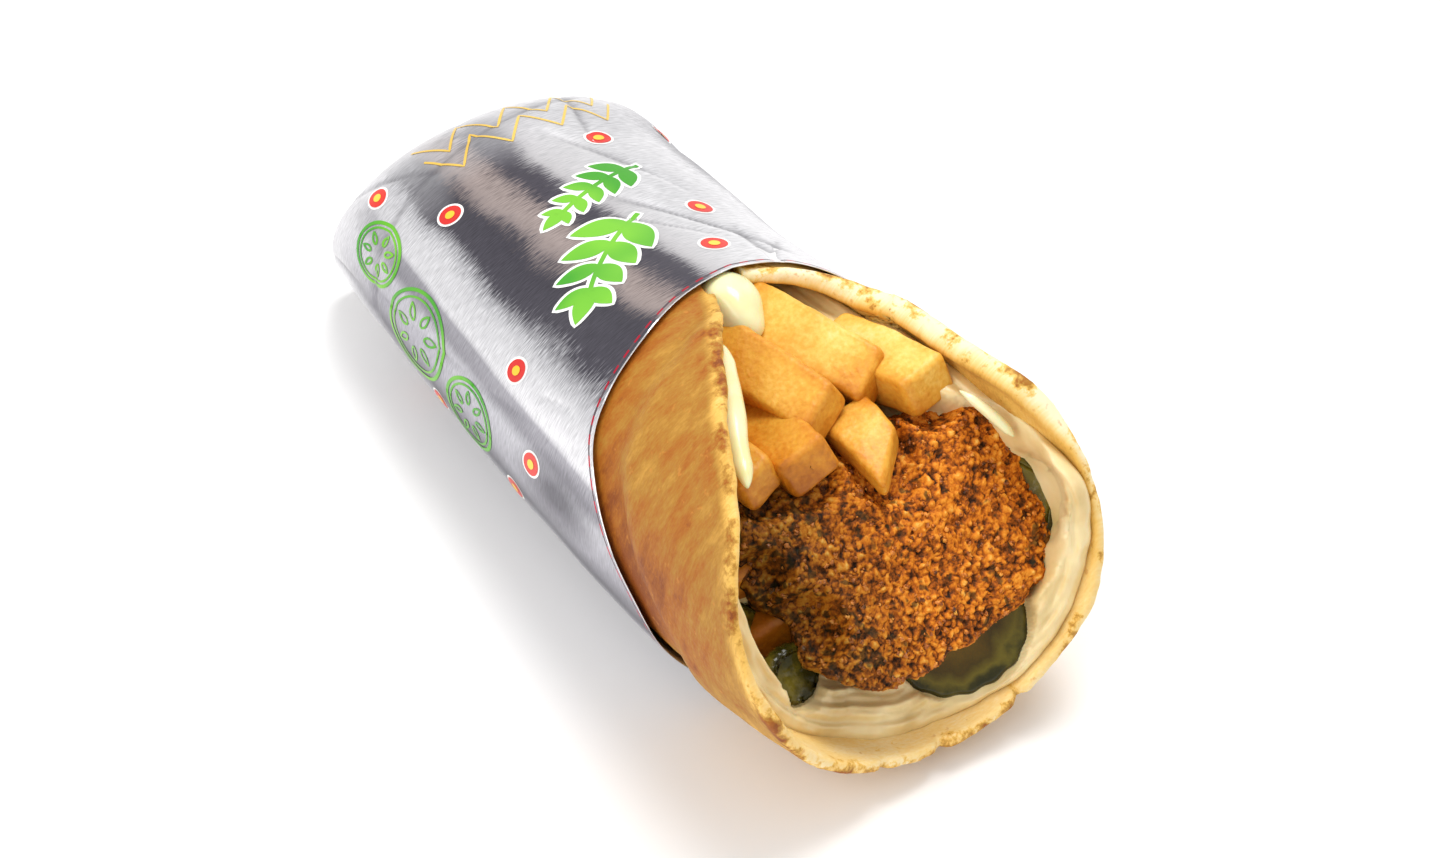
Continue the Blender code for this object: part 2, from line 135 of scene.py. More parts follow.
# Fries: back end, front end, width, thickness, roll in degrees, and how far one front corner runs on
FRIES = {
    "fry_1": ((106.5, 8.5, 55.0), (138.5, 18.5, 56.0), 13.0, 9.5, 28.0, -2.0),
    "fry_2": ((119.0, 21.0, 49.0), (146.0, 26.0, 57.0), 12.4, 11.0, 12.0, 1.0),
    "fry_3": ((107.0, -2.5, 53.5), (143.0, 4.0, 57.5), 13.0, 9.5, 28.0, -2.0),
    "fry_4": ((121.0, -2.0, 44.0), (152.0, -5.5, 56.0), 12.5, 10.0, 25.0, 1.0),
    "fry_5": ((139.0, 10.5, 51.5), (155.4, 10.8, 51.3), 11.5, 6.5, 15.0, -10.0),
    "fry_6": ((125.0, -17.0, 49.0), (150.5, -15.0, 55.0), 10.0, 9.0, 20.0, -1.0),
    "fry_7": ((137.0, -21.5, 36.0), (155.0, -23.0, 35.0), 10.0, 9.0, 10.0, 0.0),
    "fry_8": ((139.0, -16.0, 22.0), (162.0, -17.5, 25.0), 12.0, 11.0, 25.0, 1.0),
}
FRY_BEND = 1.2
FRY_ROUND = 1.5
FRY_CAP = 4
FRY_END = 7.0                   # how far its browner ends reach
FRY_TONE = {"fry_1": 0.09, "fry_2": 0.0, "fry_3": 0.22, "fry_4": 0.26, "fry_5": 0.14, "fry_6": 0.24,
            "fry_7": 0.40, "fry_8": 0.40}     # how much browner each is fried

# Pickle slices: middle, direction of the face, radius, thickness
PICKLES = {
    "pickle_1": ((162.5, 32.5, 35.5), (0.60, -0.45, 0.65), 11.0, 4.0),
    "pickle_2": ((172.7, 15.0, 20.5), (0.70, -0.25, 0.66), 14.5, 4.2),
    "pickle_3": ((160.0, -26.5, 27.0), (0.75, 0.55, 0.38), 8.5, 3.6),
    "pickle_4": ((169.0, -20.5, 23.5), (0.80, 0.20, 0.56), 6.4, 4.6),
}

# Mayonnaise
DOLLOP_AT = (108.0, 4.0, 60.0)
DOLLOP_SIZE = (8.0, 6.0, 6.0)
BEADS = {
    "mayo_left": ((-259, -226), 2.5, 5.6),
    "mayo_right": ((35.5, 19), 1.2, 6.4),
}

# The camera, as it stood for the photograph
CAMERA_AZIMUTH = 58.4
CAMERA_ELEVATION = 42.0
CAMERA_LENS = 85.0
CAMERA_SENSOR = 36.0
CAMERA_TARGET = (98.0, 0.0, 34.0)
CAMERA_DISTANCE = 689.7
CAMERA_SHIFT = (0.0243, -0.033)

# The studio. Lights: metres to the camera's right, away from it and up, then size and power
FLOOR_REACH = 4.0
SKY = 0.68
LIGHTS = {
    "key light": (0.12, 0.30, 0.95, 0.5, 7.2),
    "front light": (-0.65, -0.65, 0.65, 0.9, 6.0),
}


def smooth(knots, values, at):
    """A smooth curve through knots and values, read at one point or many."""
    knots = np.asarray(knots, float)
    values = np.asarray(values, float)
    if knots[0] > knots[-1]:
        knots = knots[::-1]
        values = values[::-1]
    at = np.clip(at, knots[0], knots[-1])
    slope = np.diff(values) / np.diff(knots)
    tangent = np.concatenate([slope[:1], (slope[1:] + slope[:-1]) / 2, slope[-1:]])
    i = np.clip(np.searchsorted(knots, at) - 1, 0, len(slope) - 1)
    width = knots[i + 1] - knots[i]
    t = (at - knots[i]) / width
    return ((2 * t**3 - 3 * t**2 + 1) * values[i] + (t**3 - 2 * t**2 + t) * width * tangent[i]
            + (3 * t**2 - 2 * t**3) * values[i + 1] + (t**3 - t**2) * width * tangent[i + 1])


def step(low, high, at):
    """0 below low, 1 above high and an even S between; low may be the higher one."""
    t = np.clip((np.asarray(at, float) - low) / (high - low), 0.0, 1.0)
    return t * t * (3 - 2 * t)


def grain(points, size, seed=0.0):
    """Noise from -1 to 1 at points in millimetres, with lumps of the given size."""
    points = np.asarray(points, float)
    flat = (points.reshape(-1, 3) / size + seed).tolist()
    return np.array([noise.noise(p) for p in flat]).reshape(points.shape[:-1])


def relief(points, *layers):
    """The sum of some grains, each with its height, size and seed."""
    return sum(height * grain(points, size, seed) for height, size, seed in layers)


def skin(station, angle, depth=0.0):
    """Points of the roll at a depth under its skin."""
    station, angle, depth = np.broadcast_arrays(np.asarray(station, float), angle, depth)
    turn = np.radians(angle)
    wide = smooth(STATIONS, HALF_WIDTH, station) - depth
    high = smooth(STATIONS, HEIGHT, station) - 2 * depth
    rise = np.clip((station - LIFT_START) / (LIFT_END - LIFT_START), 0.0, 1.0)
    base = LIFT * rise**2 - SINK + depth
    side = smooth(STATIONS, SIDE_SHIFT, station) + wide * np.cos(turn)
    height = base + high / 2 * (1 + np.sin(turn))
    return np.stack([station, side, np.maximum(np.maximum(height, depth), 0.0)], axis=-1)


def rim(angle):
    """The station where the wrapper ends."""
    return smooth(RIM_ANGLE, RIM_STATION, (np.asarray(angle, float) - RIM_ANGLE[0]) % 360 + RIM_ANGLE[0])


def edge(angle):
    """The station where the flatbread ends, for angles from its right edge down to its left edge."""
    return smooth(EDGE_ANGLE, EDGE_STATION, angle)


def place(points):
    """Points in millimetres as points of the model in metres, kept inside the solids' box."""
    moved = (np.asarray(points, float) - (ORIGIN_STATION, ORIGIN_SIDE, 0.0)) * MM
    return np.clip(moved, np.array(CAD_LOW) + 0.00001, np.array(CAD_HIGH) - 0.00001)


def unit(vectors):
    return vectors / np.maximum(np.linalg.norm(vectors, axis=-1, keepdims=True), 1e-9)


def facings(points):
    """Unit vectors square to a sheet of points."""
    return unit(np.cross(np.gradient(points, axis=0), np.gradient(points, axis=1)))


def colour(code):
    """An sRGB hex colour as linear red, green, blue and alpha."""
    parts = [int(code[k:k + 2], 16) / 255 for k in (1, 3, 5)]
    return tuple(c / 12.92 if c <= 0.04045 else ((c + 0.055) / 1.055)**2.4 for c in parts) + (1.0,)


def node(tree, kind, inputs=(), stops=(), **settings):
    """Adds a node: inputs maps a socket to a value or to an output to link, stops fill a colour ramp."""
    made = tree.nodes.new(kind)
    for key, value in settings.items():
        setattr(made, key, value)
    for key, value in dict(inputs).items():
        if isinstance(value, bpy.types.NodeSocket):
            tree.links.new(value, made.inputs[key])
        else:
            made.inputs[key].default_value = value
    for k, (spot, code) in enumerate(stops):
        element = made.color_ramp.elements[k] if k < 2 else made.color_ramp.elements.new(spot)
        element.position = spot
        element.color = colour(code) if isinstance(code, str) else (code, code, code, 1.0)
    return made


def new_material(name, **sockets):
    """A Principled material and its tree, with values for its own sockets."""
    made = bpy.data.materials.new(name)
    made.use_nodes = True
    shader = made.node_tree.nodes["Principled BSDF"]
    for key, value in sockets.items():
        shader.inputs[key.replace("_", " ")].default_value = value
    return made, made.node_tree, shader


def add_object(name, data):
    made = bpy.data.objects.new(name, data)
    bpy.context.scene.collection.objects.link(made)
    return made


def mesh_of(bm, name):
    """Turns a bmesh into a mesh."""
    mesh = bpy.data.meshes.new(name)
    bm.to_mesh(mesh)
    bm.free()
    return mesh


def new_piece(name, bm, finish, stands_for):
    """Turns a bmesh into a piece that rides on the part and stands for CAD nodes."""
    mesh = mesh_of(bm, name)
    mesh.shade_smooth()
    mesh.materials.append(finish)
    made = add_object(name, mesh)
    dress(made, stands_for)
    return made


def dress(made, stands_for):
    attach(made, "root")
    if stands_for:
        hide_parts(*stands_for)


def loft(rings, closed=True, caps="fan", maps=None, **values):
    """A bmesh through rings of points, with a UV map and named values at its points.

    rings is an array of ring, point and coordinate. caps closes the first and last ring: fan to their
    middles, ladder across a flat loop, or none."""
    count, size = rings.shape[:2]
    bm = bmesh.new()
    uv = bm.loops.layers.uv.new("UVMap") if maps is not None else None
    layers = {key: bm.verts.layers.float.new(key) for key in values}
    verts = [bm.verts.new(p) for p in place(rings).reshape(-1, 3).tolist()]
    for key, layer in layers.items():
        for vert, value in zip(verts, np.asarray(values[key], float).reshape(-1).tolist()):
            vert[layer] = value
    for r in range(count - 1):
        for c in range(size if closed else size - 1):
            corners = ((r, c), (r, c + 1), (r + 1, c + 1), (r + 1, c))
            face = bm.faces.new([verts[i * size + j % size] for i, j in corners])
            if uv:
                for loop, (i, j) in zip(face.loops, corners):
                    loop[uv].uv = maps[i, j]
    for r in (0, count - 1):
        loop = verts[r * size:(r + 1) * size]
        if caps == "fan":
            middle = bm.verts.new(sum((v.co for v in loop), Vector()) / size)
            for key, layer in layers.items():
                middle[layer] = loop[0][layer]
            for c in range(size):
                bm.faces.new((loop[c], loop[(c + 1) % size], middle))
        elif caps == "ladder":
            for c in range(size // 2 - 1):
                bm.faces.new((loop[c], loop[c + 1], loop[size - 2 - c], loop[size - 1 - c]))
    bmesh.ops.recalc_face_normals(bm, faces=bm.faces)
    return bm


# Stage: camera, floor and light

def set_stage():
    azimuth = math.radians(CAMERA_AZIMUTH)
    elevation = math.radians(CAMERA_ELEVATION)
    back = Vector((math.sin(azimuth) * math.cos(elevation), -math.cos(azimuth) * math.cos(elevation),
                   math.sin(elevation)))
    right = Vector((math.cos(azimuth), math.sin(azimuth), 0.0))
    up = back.cross(right)
    target = Vector(((CAMERA_TARGET[0] - ORIGIN_STATION) * MM, (CAMERA_TARGET[1] - ORIGIN_SIDE) * MM,
                     CAMERA_TARGET[2] * MM))
    data = bpy.data.cameras.new("camera")
    data.lens = CAMERA_LENS
    data.sensor_width = CAMERA_SENSOR
    data.shift_x, data.shift_y = CAMERA_SHIFT
    camera = add_object("camera", data)
    camera.matrix_world = Matrix((right, up, back)).transposed().to_4x4()
    camera.location = target + back * CAMERA_DISTANCE * MM
    bpy.context.scene.camera = camera
    bpy.context.scene.view_settings.view_transform = "Standard"

    bm = bmesh.new()
    bmesh.ops.create_grid(bm, x_segments=2, y_segments=2, size=FLOOR_REACH)
    floor = add_object("floor", mesh_of(bm, "floor"))
    floor.data.materials.append(new_material("white paper sweep", Roughness=0.9,
                                             Base_Color=colour("#F7F6F5"))[0])

    world = bpy.data.worlds.new("studio")
    bpy.context.scene.world = world
    world.use_nodes = True
    sky = world.node_tree.nodes["Background"]
    sky.inputs["Color"].default_value = (1.0, 1.0, 1.0, 1.0)
    sky.inputs["Strength"].default_value = SKY
    away = Vector((-back.x, -back.y, 0.0)).normalized()
    for name, (aside, beyond, over, size, power) in LIGHTS.items():
        spot = right * aside + away * beyond + Vector((0, 0, over))
        lamp = bpy.data.lights.new(name, "AREA")
        lamp.size = size
        lamp.energy = power
        light = add_object(name, lamp)
        light.location = target + spot
        light.rotation_euler = spot.to_track_quat("Z", "Y").to_euler()


# The wrapper

CREASES = (
    # From station and angle to station and angle, width and depth in millimetres: the foil's sharp folds
    ((8, 150), (28, 118), 1.1, 0.7), ((62, 86), (98, 52), 1.0, 0.8), ((70, 90), (88, 70), 0.8, 0.6),
    ((30, 84), (66, 60), 1.2, 0.6), ((84, 60), (106, 64), 0.9, 0.8), ((90, 48), (104, 66), 0.7, 0.7),
    ((6, 60), (40, 72), 1.3, 0.7), ((14, 175), (120, 156), 1.2, 0.35), ((100, 150), (112, 146), 0.8, 0.4),
    ((20, 30), (90, 20), 1.5, 0.6), ((10, 10), (60, 352), 1.3, 0.6), ((10, 210), (60, 222), 1.3, 0.5),
    ((70, 25), (120, 5), 1.2, 0.6), ((5, 95), (18, 104), 1.0, 0.5), ((4, 185), (30, 178), 1.1, 0.6),
)


def creases(station, angle):
    """How deep the foil's folds and crumples lie under its skin."""
    angle = np.asarray(angle, float) % 360
    deep = np.zeros(np.broadcast(station, angle).shape)
    for (s0, a0), (s1, a1), width, depth in CREASES:
        start = np.array((s0, a0 * ARC))
        run = np.array((s1, a1 * ARC)) - start
        ds = station - start[0]
        da = angle * ARC - start[1]
        along = np.clip((ds * run[0] + da * run[1]) / (run @ run), 0.0, 1.0)
        away = np.hypot(ds - along * run[0], da - along * run[1])
        fade = np.sin(math.pi * np.clip(along * 0.94 + 0.03, 0, 1))**0.5
        deep = deep + depth * fade * np.exp(-away / width)
    turn = np.radians(angle)
    wave = np.sin(station * 0.21 + 1.8 * np.sin(turn * 3) + 2) * np.sin(turn * 7 + station * 0.05)
    return deep + 0.12 * (1 + wave) * step(0, 12, station)


def foil(station, angle, lift=0.0):
    """The foil's outer face; lift raises print off it."""
    return skin(station, angle, FOIL_INSET + creases(station, angle) - lift)


def make_wrapper(finish):
    turn = np.linspace(0, 360, FOIL_COLUMNS + 1)[:-1]
    still = 0 * turn
    # Each row is a ring of points with its stations, its gap to the rim and the depth of its folds, which
    # sets the painted shade in them
    rows = []
    end = foil(still, turn)
    middle = np.array((0.0, SIDE_SHIFT[0], HEIGHT[0] / 2 - SINK))
    for share in np.linspace(0.04, 0.97, END_ROWS):
        swirl = 0.35 * np.sin(np.radians(turn) * 2 + 1) + turn / 36.0 + 1.2 * (1 - share)
        pleat = (swirl % 1.0) * math.sin(math.pi * share)**0.7
        ring = middle + (end - middle) * np.array((1.0, share * (1 - 0.05 * (1 - share)), share))
        ring[:, 0] = -FOLD_BACK * (1 - share * share) + 0.9 * pleat
        rows.append((ring, still - 3 * (1 - share), rim(turn) + 3 * (1 - share), 0.8 * pleat))
    for share in np.linspace(0, 1, FOIL_ROWS)**1.1:
        station = rim(turn) * share
        rows.append((foil(station, turn), station, rim(turn) - station, creases(station, turn)))
    for back_up, depth in ((0.0, PAPER * 0.15), (0.1, PAPER * 0.3), (3.0, PAPER * 0.6), (12.0, PAPER)):
        station = rim(turn) - back_up
        rows.append((skin(station, turn, FOIL_INSET + depth), station, still - 1.0, still))
    rings, stations, gaps, folds = (np.array(part) for part in zip(*rows))
    around = np.linspace(0, 1, FOIL_COLUMNS + 1)
    maps = np.stack([np.broadcast_to(around, (len(rings), FOIL_COLUMNS + 1)),
                     np.concatenate([stations, stations[:, :1]], axis=1) / 200], axis=-1)
    bm = loft(rings, caps="none", maps=maps, rim_gap=gaps, fold=folds)
    closing = [link for link in bm.edges if link.is_boundary and link.verts[0].co.x < -ORIGIN_STATION * MM]
    bmesh.ops.holes_fill(bm, edges=closing, sides=0)
    bmesh.ops.recalc_face_normals(bm, faces=bm.faces)
    return new_piece("wrapper_foil", bm, finish, ("wrapper",))


# The print: shapes drawn flat as arc and station in millimetres, then laid on the foil

SEEDS = 7
SPRIGS = (
    # Arc and station of the root, heading in degrees, its bend for each millimetre, leaf size, pairs
    (46.0, 53.0, 16.0, 0.2, 8.0, 5),
    (57.0, 72.0, 30.0, 0.35, 12.0, 4),
)
SLICES = (((116.0, 54.0), 12.0), ((107.0, 31.0), 8.5), ((122.0, 79.0), 9.5))
SPOTS = ((96.0, 20.0), (86.0, 41.0), (101.0, 90.0), (117.0, 106.0), (131.0, 64.0), (132.0, 97.0),
         (47.0, 38.0), (43.0, 74.0), (51.0, 92.0), (20.0, 30.0), (14.0, 80.0), (228.0, 40.0),
         (222.0, 90.0), (150.0, 40.0))


def disc(middle, radius, corners=28):
    turn = np.linspace(0, 2 * math.pi, corners + 1)[:-1]
    return np.array(middle) + radius * np.stack([np.cos(turn), np.sin(turn)], axis=-1)


def leaf(base, heading, length, width):
    """A leaf's outline from its base."""
    t = np.linspace(0, 1, 15)
    half = width / 2 * np.sin(math.pi * t**0.8)**0.9
    side = np.concatenate([np.stack([t * length, half], -1), np.stack([t * length, -half], -1)[-2:0:-1]])
    turn = math.radians(heading)
    turned = np.array(((math.cos(turn), math.sin(turn)), (-math.sin(turn), math.cos(turn))))
    return np.array(base) + side @ turned


def stroke(points, width):
    """The outline of a line of the given width through points."""
    points = np.asarray(points, float)
    run = unit(np.gradient(points, axis=0))
    side = np.stack([-run[:, 1], run[:, 0]], -1) * width / 2
    return np.concatenate([points + side, (points - side)[::-1]])


def grown(outline, by):
    """A closed outline moved outwards."""
    run = unit(np.roll(outline, -1, 0) - np.roll(outline, 1, 0))
    side = np.stack([run[:, 1], -run[:, 0]], -1)
    area = np.sum(outline[:, 0] * np.roll(outline[:, 1], -1) - np.roll(outline[:, 0], -1) * outline[:, 1])
    return outline + side * by * (1 if area > 0 else -1)


def lay_print(name, outlines, lift, finish):
    """Fills the outlines and lays them on the foil."""
    bm = bmesh.new()
    for outline in outlines:
        corners = [bm.verts.new((a, s, 0.0)) for a, s in outline.tolist()]
        bm.faces.new(corners)
    bmesh.ops.triangulate(bm, faces=bm.faces)
    low = np.min([o.min(0) for o in outlines], axis=0)
    high = np.max([o.max(0) for o in outlines], axis=0)
    for axis in (0, 1):
        for spot in np.arange(low[axis], high[axis], 1.5):
            where = Vector((0, 0, 0))
            where[axis] = spot
            facing = Vector((0, 0, 0))
            facing[axis] = 1.0
            whole = bm.verts[:] + bm.edges[:] + bm.faces[:]
            bmesh.ops.bisect_plane(bm, geom=whole, plane_co=where, plane_no=facing)
    flat = np.array([v.co[:2] for v in bm.verts])
    laid = place(foil(flat[:, 1], flat[:, 0] / ARC, lift))
    for vert, spot in zip(bm.verts, laid):
        vert.co = spot
    bm.normal_update()
    for face in bm.faces:
        middle = face.calc_center_median()
        if face.normal.dot(middle - Vector((middle.x, 0.0, 0.028))) < 0:
            face.normal_flip()
    new_piece(name, bm, finish, ())


def sprig(arc0, station0, heading, bend, size, count):
    """A bent stem with pairs of leaves that get smaller and one leaf at its tip."""
    spacing = size * 0.62
    outlines = []
    for k in range(count):
        along = 4.0 + spacing * k
        towards = heading + bend * along
        head = math.radians(towards)
        root = (arc0 + along * math.cos(head), station0 + along * math.sin(head))
        long = size * (1 - 0.10 * k)
        for side in (-1, 1):
            outlines.append(leaf(root, towards + side * 52, long, long * 0.50))
    outlines.append(leaf(root, towards, size * 0.85, size * 0.4))
    t = np.linspace(0, 4.0 + spacing * (count - 1), 24)
    head = np.radians(heading + bend * t)
    outlines.append(stroke(np.stack([arc0 + t * np.cos(head), station0 + t * np.sin(head)], -1), 1.1))
    return outlines


def cucumber(middle, radius):
    """A slice's two rings and its seeds, as lines."""
    lines = []
    for share, width in ((1.0, 1.0), (0.84, 0.6)):
        ring = disc(middle, radius * share, 72)
        lines.append(stroke(np.concatenate([ring, ring[:1]]), width))
    for k in range(SEEDS):
        turn = 360 / SEEDS * k + radius * 9
        head = math.radians(turn)
        root = (middle[0] + radius * 0.32 * math.cos(head), middle[1] + radius * 0.32 * math.sin(head))
        outline = leaf(root, turn, radius * 0.4, radius * 0.17)
        lines.append(stroke(np.concatenate([outline, outline[:1]]), 0.6))
    return lines


def zigzag(station):
    corners = np.arange(34.0, 84.0, 6.0)
    rise = np.where(np.arange(len(corners)) % 2 == 0, 0.0, 8.5)
    arc = np.linspace(corners[0], corners[-1], 97)
    return stroke(np.stack([arc, station + np.interp(arc, corners, rise)], -1), 0.6)


def make_print(inks):
    """Sprigs, cucumber slices, spots and zigzags: a plain pattern of the maker's own."""
    leaves = [outline for values in SPRIGS for outline in sprig(*values)]
    lines = [line for middle, radius in SLICES for line in cucumber(middle, radius)]
    white = [grown(o, 0.8) for o in leaves] + [disc(m, 3.4) for m in SPOTS]
    lay_print("print_outline", white, 0.06, inks["white"])
    lay_print("print_leaves", leaves, 0.14, inks["green"])
    lay_print("print_slices", lines, 0.10, inks["green"])
    lay_print("print_spots", [disc(m, 2.8) for m in SPOTS], 0.14, inks["red"])
    lay_print("print_spot_centres", [disc(m, 1.2) for m in SPOTS], 0.21, inks["yellow"])
    lay_print("print_zigzags", [zigzag(15.0), zigzag(22.0)], 0.10, inks["gold"])


# The flatbread

def bread_depth(station, angle):
    out = np.clip((station - rim(angle) - SWELL_START) / SWELL_LENGTH, 0.0, 1.0)
    tuck = BREAD_TUCK * np.maximum(1 - station / TUCK_END, 0.0)
    return BREAD_DEPTH + tuck - (BREAD_DEPTH + BREAD_PROUD) * out * out * (3 - 2 * out)


def edge_walk(share):
    """The angle at a share of the way along the flatbread's front edge, and the length of that edge."""
    fine = np.linspace(EDGE_ANGLE[0], EDGE_ANGLE[-1], 900)
    places = skin(edge(fine), fine)
    length = np.concatenate([[0.0], np.cumsum(np.linalg.norm(np.diff(places, axis=0), axis=1))])
    return np.interp(share * length[-1], length, fine), length[-1]


def make_bread(finish):
    share = np.linspace(0, 1, BREAD_COLUMNS + 1)
    walk, length = edge_walk(share)
    even = EDGE_ANGLE[0] + (EDGE_ANGLE[-1] - EDGE_ANGLE[0]) * share
    v = np.linspace(0, 1, BREAD_ROWS)**0.6
    angle = even[:, None] + (walk - even)[:, None] * v
    station = BREAD_BACK + (edge(angle) - BREAD_BACK) * v**ROW_CROWD
    sheet = skin(station, angle, bread_depth(station, angle))
    axis = np.stack([sheet[..., 0], 0 * station + 1, smooth(STATIONS, HEIGHT, station) / 2], -1)

    def normals(points):
        out = facings(points)
        return out * np.sign(np.sum(out * (points - axis), axis=-1, keepdims=True))

    tip = sheet[:, -1]
    inwards = unit(np.cross(unit(np.gradient(tip, axis=0)), normals(sheet)[:, -1]))
    inwards = inwards * np.sign(np.median(np.sum(inwards * (sheet[:, -4] - tip), axis=-1)))
    walked = np.stack([share * length, 0 * share, 0 * share], -1)
    waver = relief(walked, (0.45, 9.0, 3.1), (0.28, 2.6, 8.4))
    for notch in NOTCHES:
        waver = waver + NOTCH_DEPTH * np.exp(-((walked[:, 0] - notch) / NOTCH_WIDTH)**2)
    inset = np.zeros(station.shape)
    for k in range(BREAD_ROWS):
        away = np.linalg.norm(sheet[:, k, None] - tip[None], axis=-1)
        nearest = away.argmin(axis=1)
        inset[:, k] = away[np.arange(len(share)), nearest]
        pull = 1 - step(0, 10, inset[:, k])
        sheet[:, k] = sheet[:, k] + inwards[nearest] * (pull * (RIM_ROUND + waver[nearest]))[:, None]
    out = normals(sheet)
    open_part = step(0, 8, station - rim(angle))
    swell = relief(sheet, (0.42, 13.0, 1.7), (0.16, 5.0, 6.2))
    swell = swell + 2.4 * step(14, 34, angle) * step(88, 66, angle)
    pores = 0.06 * grain(sheet, 1.3, 2.2) - 0.14 * np.clip(grain(sheet, 2.2, 9.0) - 0.3, 0, 1)
    outer = sheet + out * ((swell - 0.3 + pores) * open_part)[..., None]
    flap = step(-150, -180, angle)
    thin = (0.36 + 0.12 * flap) * (1 - step(0, 15, inset))
    thick = BREAD * (1 - thin) + 0.3 * grain(sheet, 11.0, 4.4)
    inner_pores = relief(sheet, (0.07, 1.1, 5.1), (0.12, 3.5, 7.3))
    inner = sheet - out * (thick - inner_pores)[..., None]
    rows = [outer[:, k] for k in range(BREAD_ROWS)]
    middle = (outer[:, -1] + inner[:, -1]) / 2
    half = (outer[:, -1] - inner[:, -1]) / 2
    from_edge = [-(inset[:, k] + RIM_ROUND) for k in range(BREAD_ROWS)]
    for k in range(1, RIM_STEPS):
        beta = math.pi * k / RIM_STEPS
        forward = math.sin(beta)**0.75 * RIM_ROUND
        across = math.copysign(abs(math.cos(beta))**0.75, math.cos(beta))
        ring = middle + half * across - inwards * forward
        rows.append(ring + unit(half) * (0.10 * grain(ring, 1.6, 2.0))[:, None])
        from_edge.append(np.full(len(share), -RIM_ROUND * math.cos(beta)))
    rows += [inner[:, k] for k in range(BREAD_ROWS - 1, -1, -1)]
    from_edge += [inset[:, k] + RIM_ROUND for k in range(BREAD_ROWS - 1, -1, -1)]
    rings = np.stack(rows, axis=1)
    from_edge = np.stack(from_edge, axis=1)
    front_angle = np.repeat(angle[:, -1:], RIM_STEPS - 1, axis=1)
    turn = np.concatenate([angle, front_angle, angle[:, ::-1]], axis=1)
    toast = bread_toast(turn, rings[..., 0], from_edge)
    scorch = step(-60, -70, turn) * step(-180, -165, turn) * (0.5 + 0.5 * step(-100, -112, turn))
    scorch = scorch + 0.35 * step(-20, 0, turn)
    maps = np.stack([turn * ARC / 100, rings[..., 0] / 100], -1)
    maps = np.concatenate([maps, maps[:, :1]], axis=1)
    bm = loft(rings, caps="ladder", maps=maps, toast=toast, from_edge=from_edge, scorch=scorch)
    return new_piece("flatbread", bm, finish, ("bread",))


def bread_toast(turn, station, from_edge):
    """How brown the bread is, from 0 to 1: golden on the near flap, pale towards its edges and far side."""
    flap = step(-130, -170, turn)
    far = step(-30, 10, turn)
    near_paper = 1 - step(2, 12, station - rim(turn))
    outside = 0.46 + 0.24 * flap - 0.26 * far + 0.10 * near_paper * flap
    outside = outside + 0.12 * flap * step(-215, -175, turn) * step(178, 160, station)
    outside = outside - (0.34 - 0.10 * far) * step(-4.5, -1.2, from_edge)
    inside = 0.20 + 0.15 * far * step(0, 4, from_edge) + 0.06 * flap
    inside = inside + 0.16 * far * np.exp(-((from_edge - 1.8) / 1.8)**2)
    return outside + (inside - outside) * step(-1.2, 1.6, from_edge)


# The cream

def lean_axes():
    """The patty's own axes: across, up its face, and out of its face."""
    lean = math.radians(PATTY_LEAN)
    return (np.array((0.0, 1.0, 0.0)), np.array((-math.cos(lean), 0.0, math.sin(lean))),
            np.array((math.sin(lean), 0.0, math.cos(lean))))


def over_patty(points):
    """Looking into the mouth: how far out from the patty's middle points lie, as a share of its outline
    there, and how high they stand over its face."""
    across, along, out = lean_axes()
    view = np.array(MOUTH_FACES)
    away = points - np.array(PATTY_FACE)
    high = away @ out
    seen = away - view * (high / (view @ out))[..., None]
    x = seen @ across
    y = seen @ along
    turn = np.degrees(np.arctan2(y, x)) % 360
    return np.hypot(x, y) / smooth(PATTY_ANGLE, PATTY_RADIUS, turn), high


